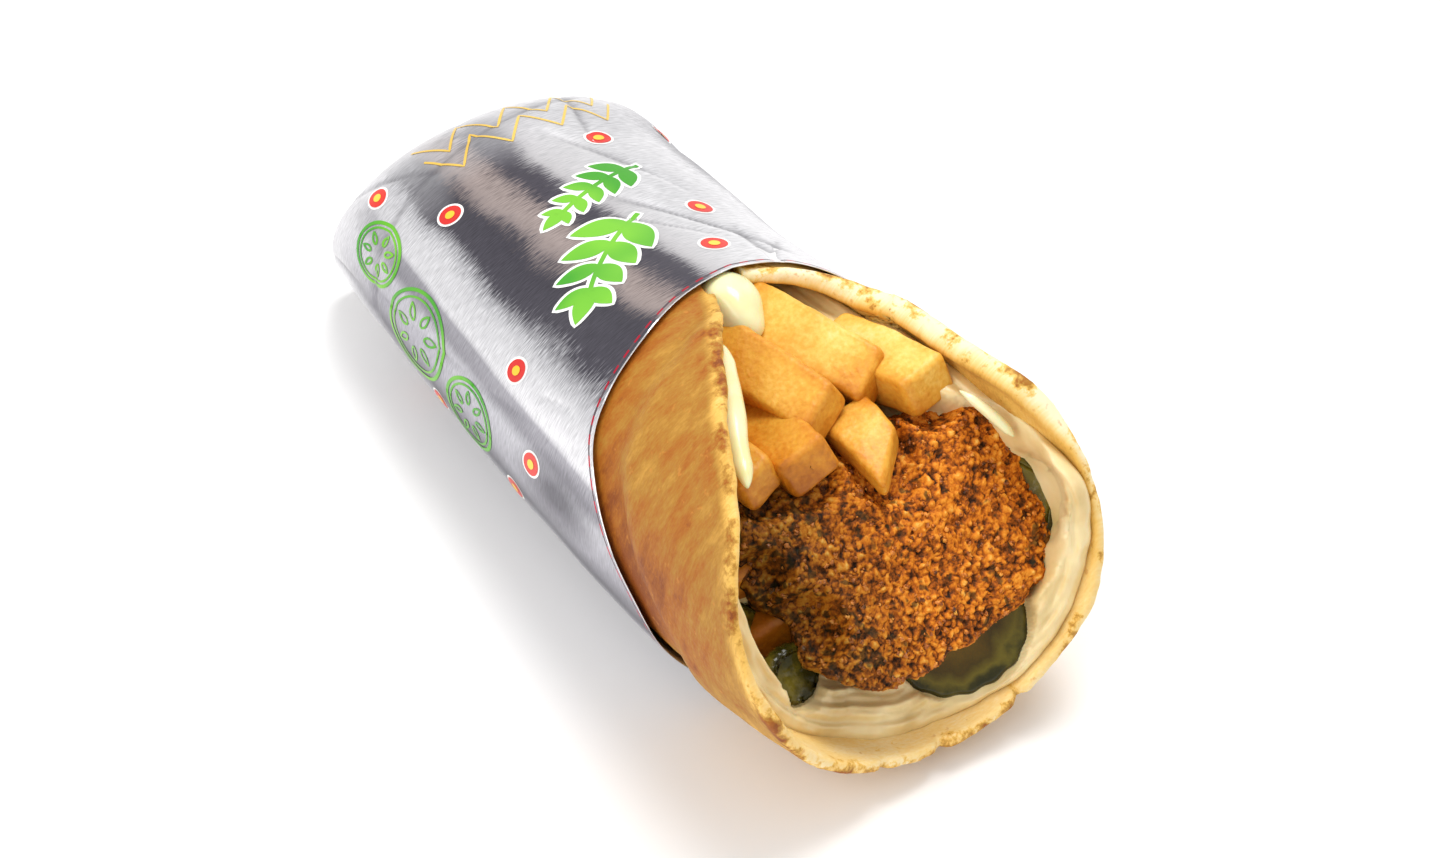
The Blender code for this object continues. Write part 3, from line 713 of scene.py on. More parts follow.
def make_cream(finish):
    angle = 80.0 - 360.0 * np.linspace(0, 1, CREAM_COLUMNS + 1)[:-1]
    mouth = smooth(CREAM_ANGLE, CREAM_STATION, angle)
    turning = np.stack([np.cos(np.radians(angle)), np.sin(np.radians(angle)), 0 * angle], -1) * 40
    mouth = mouth + relief(turning, (0.8, 11.0, 5.0), (0.4, 4.0, 2.0)) + 0.8
    # Behind the fries the cream stays out of sight
    mouth = mouth - 5 * step(18, 26, angle) - 20 * step(30, 44, angle) - 13 * step(-218, -232, angle)

    def lining(station, slack=0.4):
        return skin(station, angle, bread_depth(station, angle) + BREAD + slack)

    rings = []
    start = lining(CREAM_BACK + 0 * angle, 1.5)
    middle = np.array((CREAM_BACK, SIDE_SHIFT[0], start[:, 2].max() / 2))
    for share in (0.05, 0.4, 0.75):
        rings.append(middle + (start - middle) * share)
    for share in np.linspace(0, 0.96, 14)**1.3:
        rings.append(lining(CREAM_BACK + (mouth - CREAM_BACK) * share, 1.5 - 1.1 * share))
    border = lining(mouth, -1.2)
    heart = np.array(CREAM_HEART)
    out = lean_axes()[2]
    shares = 1 - np.linspace(0, 1, BOWL_ROWS)**1.2 * 0.97
    bowl = heart + (border - heart) * shares[:, None, None]
    facing = facings(bowl)
    facing = unit(facing * np.sign(np.median(facing @ out)) + 0.5 * np.array(MOUTH_FACES))
    inset = np.linalg.norm(bowl - border, axis=-1)
    wide = 13.0 + 2.5 * grain(turning, 17.0, 9.0)
    bead = 4.3 * np.sin(math.pi * np.clip(inset / wide, 0, 1))**0.6
    drift = 1.7 * grain(turning, 14.0, 4.0)
    ridges = 0.55 * np.sin((inset + drift) * 1.5) + 0.24 * np.sin((inset - 1.4 * drift) * 3.4)
    ripple = relief(bowl, (0.40, 3.4, 3.3), (0.10, 1.0, 7.0))
    lift = bead + (ridges + ripple) * np.clip(inset / 1.5, 0, 1)
    bowl = bowl + facing * lift[..., None]
    near, high = over_patty(bowl)
    ceiling = -4.0 + 34.0 * step(0.97, 1.22, near)
    hollow = step(-6, -15, bowl[..., 1]) * step(14, 24, bowl[..., 2]) * step(3.0, 8.0, inset)
    ceiling = np.minimum(ceiling, -10.0 + 60 * (1 - hollow))
    bowl = bowl + out * np.minimum(ceiling - high, 0.0)[..., None]
    for centre, normal, radius, thick in PICKLES.values():
        normal = np.array(normal) / np.linalg.norm(normal)
        away = bowl - np.array(centre)
        over = away @ normal
        aside = np.linalg.norm(away - over[..., None] * normal, axis=-1)
        top = thick / 2 - 1.2 + 40 * step(radius - 0.6, radius + 5, aside)
        close = (over > -6) & (aside < radius + 5)
        bowl = bowl + normal * np.where(close, np.minimum(top - over, 0.0), 0.0)[..., None]
    rings = np.concatenate([np.array(rings), bowl])
    return new_piece("sesame_cream", loft(rings), finish, ("cream",))


# The falafel patty

def crumb_relief(points):
    """The fried crumb: grains a millimetre or two across with pits between, and a tone for each grain."""
    height = []
    tone = []
    shaken = points + 0.6 * np.stack([grain(points, 1.4, s) for s in (1.0, 2.0, 3.0)], -1)
    for spot in shaken.tolist():
        far, cells = noise.voronoi(Vector(spot) / 1.5)
        small, _ = noise.voronoi(Vector(spot) / 0.8)
        cell = cells[0]
        tone.append((math.sin(cell.x * 12.99 + cell.y * 78.23 + cell.z * 37.72) * 43758.5) % 1.0)
        height.append(0.75 * min(far[1] - far[0], 0.7) + 0.30 * (small[1] - small[0]) - 0.3)
    tone = np.array(tone)
    return np.array(height) + 0.25 * (tone - 0.5), tone


def make_patty(finish):
    """A sheet wrapped over the patty's face and round its side, closed at the back, in the cream."""
    across, along, out = lean_axes()
    face = np.array(PATTY_FACE)
    u, w = np.meshgrid(np.linspace(-1, 1, PATTY_GRID), np.linspace(-1, 1, PATTY_GRID), indexing="ij")
    x = u * np.sqrt(1 - w * w / 2)
    y = w * np.sqrt(1 - u * u / 2)
    reach = np.hypot(x, y)
    turn = np.arctan2(y, x)
    on_face = np.clip(reach / 0.8, 0, 1)
    behind = np.radians(75) * np.clip((reach - 0.8) / 0.2, 0, 1)
    share = np.where(reach < 0.8, on_face, np.sqrt(np.cos(behind)))
    degrees = np.degrees(turn)
    radius = smooth(PATTY_ANGLE, PATTY_RADIUS, degrees % 360)
    bite = 0.0
    for where, width, deep in BITES:
        bite = bite + deep * np.exp(-((degrees - where) / width)**2)
    radius = radius - bite
    radius = radius * share * (1 - 0.25 * np.sin(behind))
    rise = np.where(reach < 0.8, PATTY_RISE * (1 - on_face**4)**0.35, -PATTY_BACK * np.sin(behind)**0.7)
    spot = (face + (np.cos(turn)[..., None] * across + np.sin(turn)[..., None] * along) * radius[..., None]
            + out * rise[..., None])
    crag = relief(spot, (1.0, CRAG_SIZE, 0.0), (0.5, CRAG_SIZE / 2.1, 0.0))
    away = unit(spot - face + out * PATTY_BACK / 2)
    lift = unit(away + 1.5 * out * (1 - np.sin(behind))[..., None])
    spot = spot + away * (crag * CRAG)[..., None]
    height, tone = crumb_relief(spot.reshape(-1, 3))
    height = height.reshape(reach.shape)
    for start, end, width, thick, _, _ in FRIES.values():
        # The patty is pressed in under each fry that lies on it
        start = np.array(start)
        run = np.array(end) - start
        along_fry = np.clip((spot - start) @ run / (run @ run), 0, 1)
        off = spot - start - along_fry[..., None] * run
        over = off @ out
        aside = np.linalg.norm(off - over[..., None] * out, axis=-1)
        press = np.clip(over + thick / 2 + 1.2, 0, 7) * step(width / 2 + 3, width / 2 - 0.5, aside)
        spot = spot - out * np.where(over > -12, press, 0.0)[..., None]
    pits = np.clip(grain(spot, 2.8, 4.0) - 0.10, 0, 1) + np.clip(grain(spot, 1.5, 8.0) - 0.2, 0, 1)
    spot = spot + lift * (height - pits + 0.2)[..., None]
    # The colour's relief: the grains' height, with painted shade darkening the pits between them
    shown = np.maximum(height - 0.8 * pits, -0.42)
    bm = loft(spot, closed=False, caps="none", relief=shown, tone=tone)
    rim_edges = [link for link in bm.edges if link.is_boundary]
    bmesh.ops.holes_fill(bm, edges=rim_edges, sides=0)
    bmesh.ops.recalc_face_normals(bm, faces=bm.faces)
    return new_piece("falafel", bm, finish, ("falafel_patty",))


# Fries

def fry_section(a, b, c):
    """A rectangle of half sides a and b with corners of radius c: its points, and 1 where it bends."""
    y = []
    z = []
    bent = []
    middles = ((a - c, b - c), (c - a, b - c), (c - a, c - b), (a - c, c - b))
    for quarter, (cy, cz) in enumerate(middles):
        start = quarter * math.pi / 2
        turn = start + np.linspace(0, math.pi / 2, 9)
        y += list(cy + c * np.cos(turn))
        z += list(cz + c * np.sin(turn))
        bent += [1.0] * len(turn)
        next_y, next_z = middles[(quarter + 1) % 4]
        last = start + math.pi / 2
        for t in (0.12, 0.3, 0.5, 0.7, 0.88):
            y.append(cy + (next_y - cy) * t + c * math.cos(last))
            z.append(cz + (next_z - cz) * t + c * math.sin(last))
            bent.append(0.0)
    return np.array(y), np.array(z), np.array(bent)


def fry_rows(length):
    """How far along a fry each of its rings lies and the share of the full section that it has. The first and
    last FRY_CAP rings close its flat ends."""
    rows = [(0.0, s) for s in (0.06, 0.3, 0.55, 0.8)]
    rows += [(FRY_ROUND * (1 - math.cos(b)), math.sin(b)) for b in np.linspace(0.0, math.pi / 2, 6)[:-1]]
    rows += [(d, 1.0) for d in np.linspace(FRY_ROUND, length - FRY_ROUND, 44)]
    rows += [(length - d, s) for d, s in rows[8:3:-1]]
    rows += [(length, s) for _, s in rows[3::-1]]
    return rows


def make_fry(name, finish):
    back, front, width, thick, roll, run_on = FRIES[name]
    back = np.array(back)
    run = np.array(front) - back
    length = np.linalg.norm(run)
    run = run / length
    side = unit(np.cross((0.0, 0.0, 1.0), run))
    top = np.cross(run, side)
    turn = math.radians(roll)
    side, top = side * math.cos(turn) + top * math.sin(turn), top * math.cos(turn) - side * math.sin(turn)
    seed = float(name[-1]) * 3.7
    rings = []
    ends = []
    corners = []
    rows = fry_rows(length)
    for k, (spot, swell) in enumerate(rows):
        cap = k < FRY_CAP or k >= len(rows) - FRY_CAP
        inset = FRY_ROUND if cap else FRY_ROUND * (1 - swell)
        a = max(width / 2 - inset, 0.2)
        b = max(thick / 2 - inset, 0.2)
        if cap:
            a = a * swell
            b = b * swell
        y, z, bent = fry_section(a, b, min(FRY_ROUND, a * 0.9, b * 0.9))
        t = spot / length
        narrow = 1 - 0.12 * t
        x = spot + run_on * y / width * t**3
        rings.append(back + run * x[:, None] + side * (y * narrow)[:, None]
                     + top * ((z + FRY_BEND * math.sin(math.pi * t)) * narrow)[:, None])
        gap = min(spot, length - spot)
        ends.append(np.full(len(y), max(0.0, 1 - gap / FRY_END)))
        corners.append(bent * (0.0 if cap else 1.0))
    rings = np.array(rings)
    away = unit(rings - rings.mean(axis=1, keepdims=True))
    lumps = relief(rings, (0.34, 8.0, seed), (0.15, 3.0, seed + 1), (0.07, 1.0, seed + 2))
    blisters = 0.22 * np.clip(grain(rings, 1.5, seed + 5) - 0.35, 0, 1)
    rings = rings + away * (lumps + blisters - 0.1)[..., None]
    # The under and near sides turn more orange: partly a browner crust, partly painted shade where they face
    # away from the light
    under = step(0.2, -0.7, away @ np.array((0.25, 0.1, 0.95)))
    near = step(0.1, 0.8, away @ np.array((0.3, -0.95, 0.0)))
    shade = 0.5 * np.maximum(under, 0.4 * near) + FRY_TONE[name] * 5
    bm = loft(rings, ends=np.array(ends), corners=np.array(corners), shade=shade)
    return new_piece(name + "_fried", bm, finish, (name,))


# Pickles

def make_pickle(name, finish):
    middle, facing, radius, thick = PICKLES[name]
    turn = Vector(facing).normalized().to_track_quat("Z", "Y").to_matrix()
    around = np.linspace(0, 2 * math.pi, 97)[:-1]
    cut = name != "pickle_4"        # this one shows its ribbed skin, the others a cut face
    ribs = 16 if cut else 22
    rings = []
    hearts = []
    rounded = thick * 0.42
    profile = [(share, -thick / 2) for share in (0.05, 0.3, 0.55, 0.75)]
    for beta in np.linspace(-math.pi / 2, math.pi / 2, 13):
        profile.append((1 - (1 - math.cos(beta)) * rounded / radius, math.sin(beta) * thick / 2))
    flat_steps = (0.87, 0.78, 0.7, 0.62, 0.54, 0.46, 0.38, 0.3, 0.2, 0.1, 0.04)
    profile += [(share, thick / 2) for share in flat_steps]
    for share, height in profile:
        wave = 1 + 0.03 * np.sin(3 * around + radius) + 0.018 * np.sin(ribs * around) * share**4
        x = radius * share * np.cos(around) * wave
        y = radius * share * np.sin(around) * wave * 0.94
        dish = 0.35 * math.sin(share * math.pi) if height >= thick / 2 and cut else 0.0
        spot = np.stack([x, y, 0 * x + height - dish], -1)
        spot[:, 2] += relief(spot, (0.25, 3.0, radius), (0.10, 1.1, radius + 2))
        rings.append(np.array(middle) + spot @ np.array(turn).T)
        hearts.append(0 * x + (share if cut else 0.92))
    bm = loft(np.array(rings), heart=np.array(hearts))
    return new_piece(name + "_slice", bm, finish, (name,))


# Mayonnaise

def make_dollop(finish):
    bm = bmesh.new()
    bmesh.ops.create_icosphere(bm, subdivisions=6, radius=1.0)
    ball = np.array([v.co for v in bm.verts])
    x, _, z = ball.T
    spots = np.array(DOLLOP_AT) + ball * np.array(DOLLOP_SIZE)
    spots[:, 0] += 2.0 * np.clip(x, 0, 1)**2 - 0.8 * z * x
    spots = spots + ball * (0.7 * grain(spots, 7.0, 2.0))[:, None]
    for vert, spot in zip(bm.verts, place(spots)):
        vert.co = spot
    bmesh.ops.recalc_face_normals(bm, faces=bm.faces)
    return new_piece("mayo_dollop_soft", bm, finish, ("mayo_dollop",))


def make_bead(name, finish):
    (start, end), thickness, depth = BEADS[name]
    share = np.linspace(0.0, 1.0, 90)
    angle = start + (end - start) * share
    station = edge(angle) - (1.0 if name == "mayo_left" else 8.0)
    path = skin(station, angle, depth)
    run = unit(np.gradient(path, axis=0))
    side = unit(np.cross(run, (0.0, 0.0, 1.0)))
    top = np.cross(run, side)
    around = np.linspace(0, 2 * math.pi, 33)[:-1]
    ends = np.clip(np.minimum(share, 1 - share) * 7, 0.02, 1)**0.5
    size = 0.9 * thickness * (0.7 + 0.3 * np.sin(math.pi * share)) * ends
    size = size * (1 + 0.18 * grain(path, 8.0, 5.0))
    rings = (path[:, None] + side[:, None] * (np.cos(around) * size[:, None])[..., None]
             + top[:, None] * (np.sin(around) * size[:, None])[..., None])
    return new_piece(name + "_soft", loft(rings), finish, (name,))


# Crumbs on the patty, scattered by a node tree

def crumb_tree(finish):
    """Scatters crumbs over a surface; density, size and seed are its named inputs."""
    tree = bpy.data.node_groups.new("scatter crumbs", "GeometryNodeTree")
    face = tree.interface
    face.new_socket("Geometry", in_out="INPUT", socket_type="NodeSocketGeometry")
    for name, value in CRUMBS.items():
        kind = "NodeSocketInt" if name == "Seed" else "NodeSocketFloat"
        face.new_socket(name, in_out="INPUT", socket_type=kind).default_value = value
    face.new_socket("Geometry", in_out="OUTPUT", socket_type="NodeSocketGeometry")
    given = node(tree, "NodeGroupInput").outputs
    seed = given["Seed"]
    spots = node(tree, "GeometryNodeDistributePointsOnFaces",
                 {"Mesh": given["Geometry"], "Density": given["Density"], "Seed": seed})
    lump = node(tree, "GeometryNodeMeshIcoSphere", {"Radius": given["Size"], "Subdivisions": 2})
    where = node(tree, "GeometryNodeInputPosition").outputs[0]
    bumps = node(tree, "ShaderNodeTexNoise", {"Vector": where, "Scale": 2200.0}).outputs["Color"]
    push = node(tree, "ShaderNodeVectorMath", {0: bumps, 1: (0.5, 0.5, 0.5)}, operation="SUBTRACT").outputs[0]
    push = node(tree, "ShaderNodeVectorMath", {0: push, "Scale": 0.0014}, operation="SCALE").outputs[0]
    uneven = node(tree, "GeometryNodeSetPosition", {"Geometry": lump.outputs["Mesh"], "Offset": push})
    spin = node(tree, "FunctionNodeRandomValue", {0: (0, 0, 0), 1: (6.28, 6.28, 6.28), "Seed": seed},
                data_type="FLOAT_VECTOR")
    size = node(tree, "FunctionNodeRandomValue", {2: 0.5, 3: 1.5, "Seed": seed}, data_type="FLOAT")
    copies = node(tree, "GeometryNodeInstanceOnPoints",
                  {"Points": spots.outputs["Points"], "Instance": uneven.outputs["Geometry"],
                   "Rotation": spin.outputs[0], "Scale": size.outputs[1]})
    real = node(tree, "GeometryNodeRealizeInstances", {"Geometry": copies.outputs["Instances"]})
    finished = node(tree, "GeometryNodeSetMaterial", {"Geometry": real.outputs[0], "Material": finish})
    node(tree, "NodeGroupOutput", {"Geometry": finished.outputs[0]})
    return tree


def make_crumbs(patty, finish):
    """Loose crumbs on the patty's face, from the part of its mesh that faces out."""
    out = Vector(lean_axes()[2])
    bm = bmesh.new()
    bm.from_mesh(patty.data)
    hidden = [f for f in bm.faces if f.normal.dot(out) < 0.25]
    bmesh.ops.delete(bm, geom=hidden, context="FACES")
    ground = add_object("patty face", mesh_of(bm, "patty face"))
    scatter = ground.modifiers.new("scatter", "NODES")
    scatter.node_group = crumb_tree(finish)
    for socket in scatter.node_group.interface.items_tree:
        if socket.name in CRUMBS:
            scatter[socket.identifier] = CRUMBS[socket.name]
    ground.update_tag()
    depsgraph = bpy.context.evaluated_depsgraph_get()
    crumbs = bpy.data.meshes.new_from_object(ground.evaluated_get(depsgraph))
    bpy.data.objects.remove(ground)
    crumbs.name = "falafel_crumbs"
    crumbs.shade_smooth()
    dress(add_object("falafel_crumbs", crumbs), ())


# Materials

def object_spot(tree):
    """Where a point lies in the object, in metres."""
    return node(tree, "ShaderNodeTexCoord").outputs["Object"]


def named(tree, name):
    """The value of that name at the mesh's points."""
    return node(tree, "ShaderNodeAttribute", attribute_name=name).outputs["Fac"]


def clouds(tree, where, scale, detail=2.0, roughness=0.5):
    """Noise from 0 to 1."""
    inputs = {"Vector": where, "Scale": scale, "Detail": detail, "Roughness": roughness}
    return node(tree, "ShaderNodeTexNoise", inputs).outputs[0]


def stretched(tree, vector, along, across):
    inputs = {0: vector, 1: (along, across, 1.0)}
    return node(tree, "ShaderNodeVectorMath", inputs, operation="MULTIPLY").outputs[0]


def maths(tree, operation, *values):
    return node(tree, "ShaderNodeMath", dict(enumerate(values)), operation=operation).outputs[0]


def plus(tree, start, *terms):
    """A start value with terms added to it: outputs, or pairs of an output and its weight."""
    for term in terms:
        value, weight = term if isinstance(term, tuple) else (term, 1.0)
        start = maths(tree, "MULTIPLY_ADD", value, weight, start)
    return start


def remap(tree, value, low, high, at_low, at_high):
    """Goes from at_low to at_high while the value goes from low to high, and stays there beyond."""
    return node(tree, "ShaderNodeMapRange", {0: value, 1: low, 2: high, 3: at_low, 4: at_high}).outputs[0]


def ramp(tree, value, *stops):
    return node(tree, "ShaderNodeValToRGB", {0: value}, stops=stops).outputs[0]


def blend(tree, share, first, second, way="MIX"):
    """Two colours, the second one laid over the first by its share."""
    pair = [colour(c) if isinstance(c, str) else c for c in (first, second)]
    inputs = {0: share, 6: pair[0], 7: pair[1]}
    return node(tree, "ShaderNodeMix", inputs, data_type="RGBA", blend_type=way).outputs[2]


def paint(tree, shader, tint, height=None, strength=0.0, distance=0.0):
    """Links a colour to the shader, and a bump from a height where there is one."""
    tree.links.new(tint, shader.inputs["Base Color"])
    if height is not None:
        bump = node(tree, "ShaderNodeBump", {"Strength": strength, "Distance": distance, "Height": height})
        tree.links.new(bump.outputs[0], shader.inputs["Normal"])


def foil_material():
    """Paper-backed aluminium foil with a satin roll finish, and painted reflections: soft dark and bright
    bands with furry borders.
    """
    made, tree, shader = new_material("paper-backed aluminium foil", Metallic=0.7, Roughness=0.36)
    uv = node(tree, "ShaderNodeUVMap", uv_map="UVMap").outputs[0]
    around, along, _ = node(tree, "ShaderNodeSeparateXYZ", {0: uv}).outputs
    # The map's u is one turn, 248 mm, and its v is 200 mm. Hairlines are 3 mm long and 0.3 mm apart.
    hair = clouds(tree, stretched(tree, uv, 82.0, 660.0), 1.0)
    broad = clouds(tree, stretched(tree, uv, 11.0, 7.0), 1.0)
    # The fur stands only where the painted reflection bands are dark, from 0.2 to 0.4 of the turn
    furry = remap(tree, around, 0.41, 0.38, 0.0, 0.05)
    shake = maths(tree, "MULTIPLY", maths(tree, "SUBTRACT", hair, 0.5), furry)
    sway = plus(tree, -0.0275, (broad, 0.055))
    sway = maths(tree, "MULTIPLY", sway, remap(tree, around, 0.42, 0.37, 0.15, 1.0))
    slant = remap(tree, around, 0.33, 0.40, 0.07, -0.08)
    lean = maths(tree, "MULTIPLY", maths(tree, "SUBTRACT", along, 0.47), slant)
    # Painted reflections: dark and bright bands round the roll, standing for what the foil mirrors
    bands = ramp(
        tree, plus(tree, around, shake, sway, lean),
        (0.00, "#A9A9B0"), (1.0, "#A9A9B0"), (0.07, "#6E6C74"), (0.11, "#D8D7DA"), (0.20, "#E6E5E7"),
        (0.232, "#D2CFD1"), (0.248, "#4E4A54"), (0.268, "#514D57"), (0.283, "#A69793"), (0.303, "#B2A39F"),
        (0.319, "#4A4750"), (0.364, "#54515A"), (0.385, "#C9C8CC"), (0.400, "#E2E1E4"), (0.432, "#E6E5E8"),
        (0.437, "#A5A3AA"), (0.452, "#8E8C93"), (0.466, "#B9B8BE"), (0.50, "#A3A1A9"), (0.53, "#5F5D66"),
        (0.565, "#C9C8CD"), (0.62, "#8D8B93"), (0.72, "#C6C6CB"), (0.80, "#7D7B84"), (0.88, "#D4D4D8"))
    # The painted reflection bands fade to pale towards the back end
    pale = remap(tree, plus(tree, along, (broad, 0.10)), 0.13, 0.24, 0.85, 0.0)
    tint = blend(tree, pale, bands, "#D6D5D8")
    # A painted dark reflection low on the near side: a soft patch about 25 mm across, by the rim
    patch = node(tree, "ShaderNodeVectorMath", {0: uv, 1: (0.488, 0.585, 0.0)}, operation="SUBTRACT")
    patch = stretched(tree, patch.outputs[0], 27.0, 13.0)
    patch = node(tree, "ShaderNodeVectorMath", {0: patch}, operation="LENGTH").outputs["Value"]
    patch = remap(tree, plus(tree, patch, (broad, 0.8)), 0.6, 1.5, 0.85, 0.0)
    tint = blend(tree, patch, tint, "#4C4952")
    tint = blend(tree, 1.0, tint, remap(tree, hair, 0.3, 0.7, 0.80, 1.22), "MULTIPLY")
    # Painted shade in the foil's folds and pleats, darker where they lie deeper
    tint = blend(tree, remap(tree, named(tree, "fold"), 0.25, 0.8, 0.0, 0.55), tint, "#5B5860")
    # Near the rim: a bare edge 0.4 mm wide, and a row of red and dark dashes each 1.8 mm long
    gap = named(tree, "rim_gap")
    tint = blend(tree, maths(tree, "LESS_THAN", gap, 0.4), tint, "#EDECEC")
    dash_part = maths(tree, "FRACT", maths(tree, "MULTIPLY", around, 68.0))
    dash = blend(tree, maths(tree, "LESS_THAN", dash_part, 0.5), "#6A5A60", "#C4203A")
    tint = blend(tree, maths(tree, "COMPARE", gap, 1.5, 0.28), tint, dash)
    paint(tree, shader, tint, hair, 0.2, 0.0002)
    return made


def ink_material(name, code, second):
    """Printing ink on foil: a film with a soft gloss that drifts between two tones over 20 mm."""
    made, tree, shader = new_material(name, Roughness=0.35)
    drift = clouds(tree, object_spot(tree), 55.0, 1.0)
    paint(tree, shader, ramp(tree, drift, (0.38, code), (0.62, second)))
    return made


def bread_material():
    """Wheat flatbread baked on a hot floor: matte and golden, with brown streaks and blistered edges."""
    made, tree, shader = new_material(
        "toasted wheat flatbread", Roughness=0.60, Subsurface_Weight=0.10, Subsurface_Scale=0.002,
        Subsurface_Radius=(1.0, 0.6, 0.3), Specular_IOR_Level=0.35)
    uv = node(tree, "ShaderNodeUVMap", uv_map="UVMap").outputs[0]
    where = object_spot(tree)
    toast = named(tree, "toast")
    away = named(tree, "from_edge")
    # The map is in units of 100 mm. Toast streaks are about 7 mm long round the roll and 3 mm wide.
    streak = clouds(tree, stretched(tree, uv, 13.0, 32.0), 1.0, 5.0, 0.6)
    streak = maths(tree, "MULTIPLY", remap(tree, streak, 0.35, 0.72, -0.07, 0.15),
                   remap(tree, away, 0.5, -4.0, 0.35, 1.0))
    cloud = remap(tree, clouds(tree, where, 60.0), 0.3, 0.7, -0.08, 0.10)
    fine = remap(tree, clouds(tree, stretched(tree, uv, 80.0, 210.0), 1.0, 3.0), 0.3, 0.7, -0.05, 0.05)
    # Blistered spots, 1 to 3 mm across, in a band 5 mm wide along the edge
    blister = clouds(tree, where, 420.0, 4.0, 0.65)
    patch = clouds(tree, where, 120.0, 1.0)
    band = remap(tree, maths(tree, "ABSOLUTE", maths(tree, "ADD", away, 1.6)), 3.8, 0.3, -0.30, 0.0)
    spots = plus(tree, blister, band, patch, (named(tree, "scorch"), 0.13))
    spots = remap(tree, spots, 0.94, 1.24, 0.0, remap(tree, toast, 0.25, 0.55, 0.78, 0.20))
    baked = ramp(
        tree, plus(tree, toast, streak, cloud, fine, spots),
        (0.0, "#F6E6BE"), (1.0, "#84420A"), (0.18, "#F0CF88"), (0.36, "#E6B75A"), (0.55, "#C2903A"),
        (0.70, "#AA7828"), (0.84, "#A45F14"))
    # Brown specks all over, under 1 mm
    speck = remap(tree, clouds(tree, where, 560.0), 0.66, 0.74, 0.0, 0.5)
    paint(tree, shader, blend(tree, speck, baked, "#C98434"), clouds(tree, where, 900.0, 3.0), 0.5, 0.0003)
    return made


def cream_material():
    """Whipped sesame paste: dense, oily and light-scattering, with a wet gloss on its ridges."""
    made, tree, shader = new_material(
        "whipped sesame paste", Roughness=0.34, Subsurface_Weight=0.12, Subsurface_Scale=0.002,
        Coat_Weight=0.25, Coat_Roughness=0.18)
    where = object_spot(tree)
    tint = ramp(tree, clouds(tree, where, 110.0, 3.0), (0.3, "#D8BA7A"), (0.72, "#F5E2AE"), (0.5, "#E9CF94"))
    paint(tree, shader, tint, clouds(tree, where, 700.0), 0.25, 0.0003)
    return made


def mayo_material():
    """Garlic mayonnaise: a smooth emulsion, pale yellow-green, with a glassy skin."""
    made, tree, shader = new_material(
        "garlic mayonnaise", Roughness=0.22, Subsurface_Weight=0.3, Subsurface_Scale=0.003,
        Coat_Weight=0.25, Coat_Roughness=0.15)
    cloud = clouds(tree, object_spot(tree), 120.0)
    paint(tree, shader, ramp(tree, cloud, (0.3, "#E4DFA0"), (0.7, "#F3EFC4")))
    return made


def fry_material():
    """Fried potato: a thin blistered crust, pale gold, with orange cut ends, and orange under and near sides
    that are partly a browner crust and partly painted shade.
    """
    made, tree, shader = new_material(
        "fried potato crust", Roughness=0.44, Subsurface_Weight=0.14, Subsurface_Scale=0.003,
        Subsurface_Radius=(1.0, 0.55, 0.2), Specular_IOR_Level=0.4)
    where = object_spot(tree)
    fine = clouds(tree, where, 900.0, 3.0)
    level = plus(tree, -0.04, (clouds(tree, where, 75.0, 3.0), 0.60), (named(tree, "ends"), 0.08),
                 (named(tree, "shade"), 0.20), (named(tree, "corners"), 0.05), (fine, 0.36))
    tint = ramp(tree, level, (0.24, "#F6DA90"), (0.95, "#AE620C"), (0.42, "#F0C560"), (0.58, "#E5A93C"),
                (0.76, "#D2861E"))
    # Crust blisters about 1 mm across, and grains of about 0.3 mm
    bubbles = node(tree, "ShaderNodeTexVoronoi", {"Vector": where, "Scale": 900.0}).outputs["Distance"]
    paint(tree, shader, tint, plus(tree, fine, (bubbles, 0.5)), 0.5, 0.0003)
    return made


def pickle_material():
    """Cucumber in brine: waterlogged brown-olive flesh under a greener skin, wet all over."""
    made, tree, shader = new_material(
        "brined cucumber", Roughness=0.2, Subsurface_Weight=0.1, Subsurface_Scale=0.002,
        Subsurface_Radius=(0.5, 0.6, 0.15), Coat_Weight=0.1, Coat_Roughness=0.05, Specular_IOR_Level=0.25)
    where = object_spot(tree)
    level = plus(tree, -0.35, (clouds(tree, where, 140.0, 4.0), 0.7), named(tree, "heart"))
    tint = ramp(tree, level, (0.0, "#7A6018"), (1.0, "#2C2A0A"), (0.35, "#664F10"), (0.62, "#4C3C0C"),
                (0.8, "#6C601C"), (0.92, "#38340E"))
    # Wet wrinkles about 2 mm apart
    paint(tree, shader, tint, clouds(tree, where, 420.0, 3.0), 0.6, 0.0005)
    return made


def near_side(tree, low, high, most):
    """0 on the far side of the patty, up to most on its near side, by side in metres: where its painted shade
    lies.
    """
    side = node(tree, "ShaderNodeSeparateXYZ", {0: object_spot(tree)}).outputs[1]
    return remap(tree, side, low, high, 0.0, most)


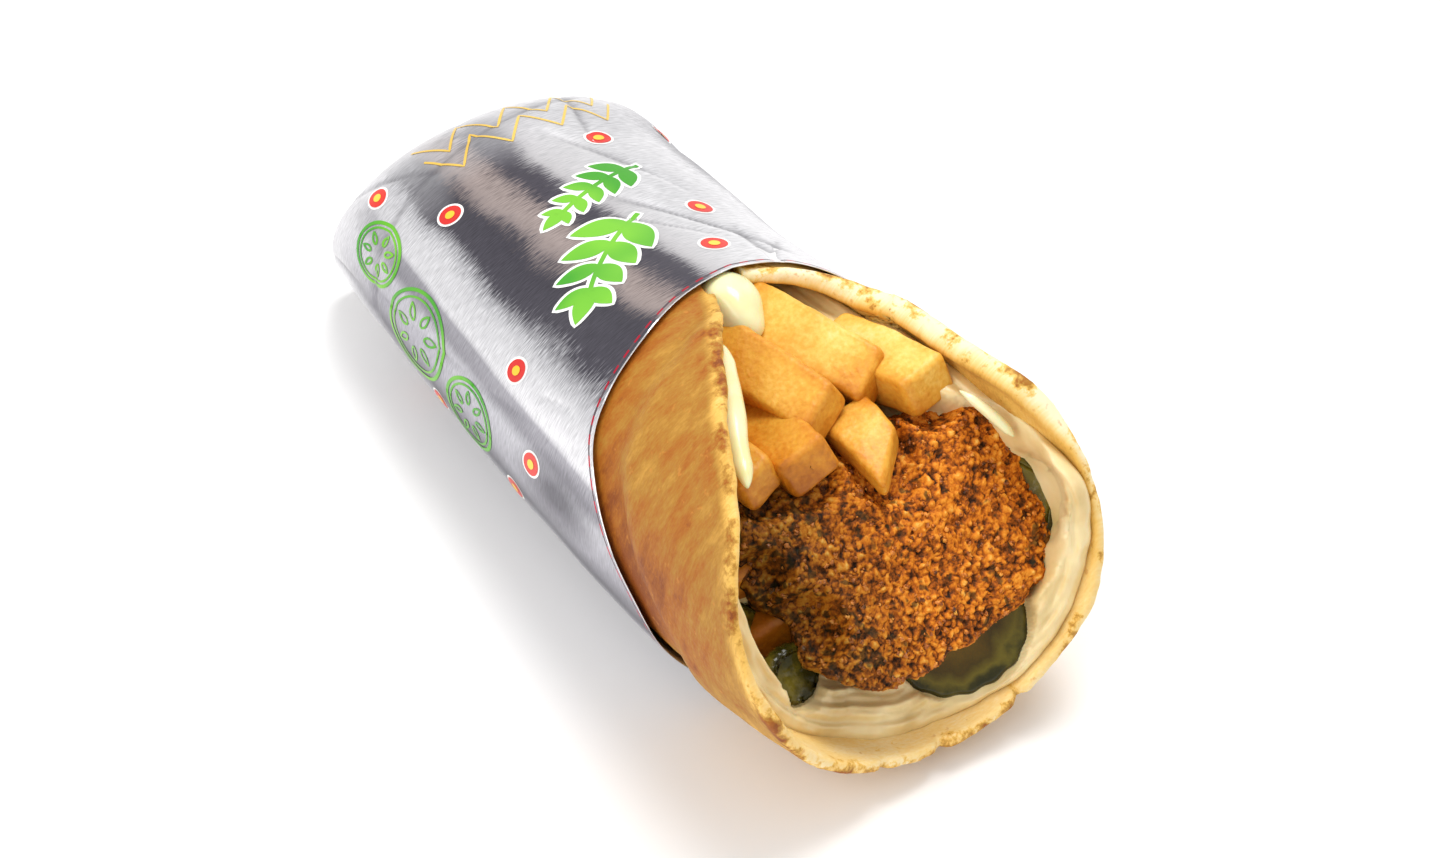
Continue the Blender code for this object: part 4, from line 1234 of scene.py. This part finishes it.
def falafel_material():
    """Fried chickpea crumb: coarse orange-brown grains, pits darkened with painted shade, herb flecks,
    painted shade on the near side, dry and rough.
    """
    made, tree, shader = new_material("fried chickpea crumb", Roughness=0.6, Specular_IOR_Level=0.15)
    where = object_spot(tree)
    fine = clouds(tree, where, 900.0, 4.0, 0.7)
    # relief darkens the pits with painted shade
    level = plus(tree, fine, (named(tree, "relief"), 0.64), (named(tree, "tone"), 0.20))
    tint = ramp(tree, level, (0.16, "#241206"), (1.0, "#F6C060"), (0.32, "#66340A"), (0.46, "#A65410"),
                (0.60, "#D07618"), (0.78, "#E6942E"))
    # Herb flecks, 1 to 3 mm across, more of them on the near side, and painted shade there from the flap and
    # fries: a darker, greener zone
    green = plus(tree, near_side(tree, 0.006, -0.022, 0.12), (clouds(tree, where, 70.0), 0.4),
                 clouds(tree, where, 420.0))
    tint = blend(tree, remap(tree, green, 0.82, 0.90, 0.0, 0.75), tint, "#2C2812")
    # Painted shade: the near side, shaded by the flap and fries, is multiplied darker
    dull = blend(tree, near_side(tree, 0.004, -0.020, 1.0), (1.0, 1.0, 1.0, 1.0), (0.42, 0.52, 0.62, 1.0))
    paint(tree, shader, blend(tree, 1.0, tint, dull, "MULTIPLY"), fine, 0.6, 0.0004)
    return made


def crumb_material():
    """Loose fried crumbs: the patty's own crumb, lighter at the grain, with painted shade on the near side.
    """
    made, tree, shader = new_material("loose fried crumb", Roughness=0.5)
    cells = clouds(tree, object_spot(tree), 600.0)
    tint = ramp(tree, cells, (0.3, "#4A260A"), (0.75, "#F2AC44"), (0.45, "#A65610"), (0.58, "#DA8020"))
    # Painted shade: crumbs on the near side, shaded by the flap, turn darker
    paint(tree, shader, blend(tree, near_side(tree, 0.004, -0.020, 0.5), tint, "#5E431C"))
    return made


def main():
    set_stage()
    make_wrapper(foil_material())
    make_print({"green": ink_material("leaf green printing ink", "#3B9A18", "#74BE2A"),
                "white": ink_material("white printing ink", "#F2F2EE", "#F2F2EE"),
                "red": ink_material("red printing ink", "#CE2018", "#DA2E1E"),
                "yellow": ink_material("yellow printing ink", "#F0BE2C", "#F4CC40"),
                "gold": ink_material("thin gold printing ink", "#D9B048", "#E4BF5C")})
    make_bread(bread_material())
    make_cream(cream_material())
    patty = make_patty(falafel_material())
    make_crumbs(patty, crumb_material())
    potato = fry_material()
    for name in FRIES:
        make_fry(name, potato)
    brined = pickle_material()
    for name in PICKLES:
        make_pickle(name, brined)
    mayo = mayo_material()
    make_dollop(mayo)
    for name in BEADS:
        make_bead(name, mayo)


main()
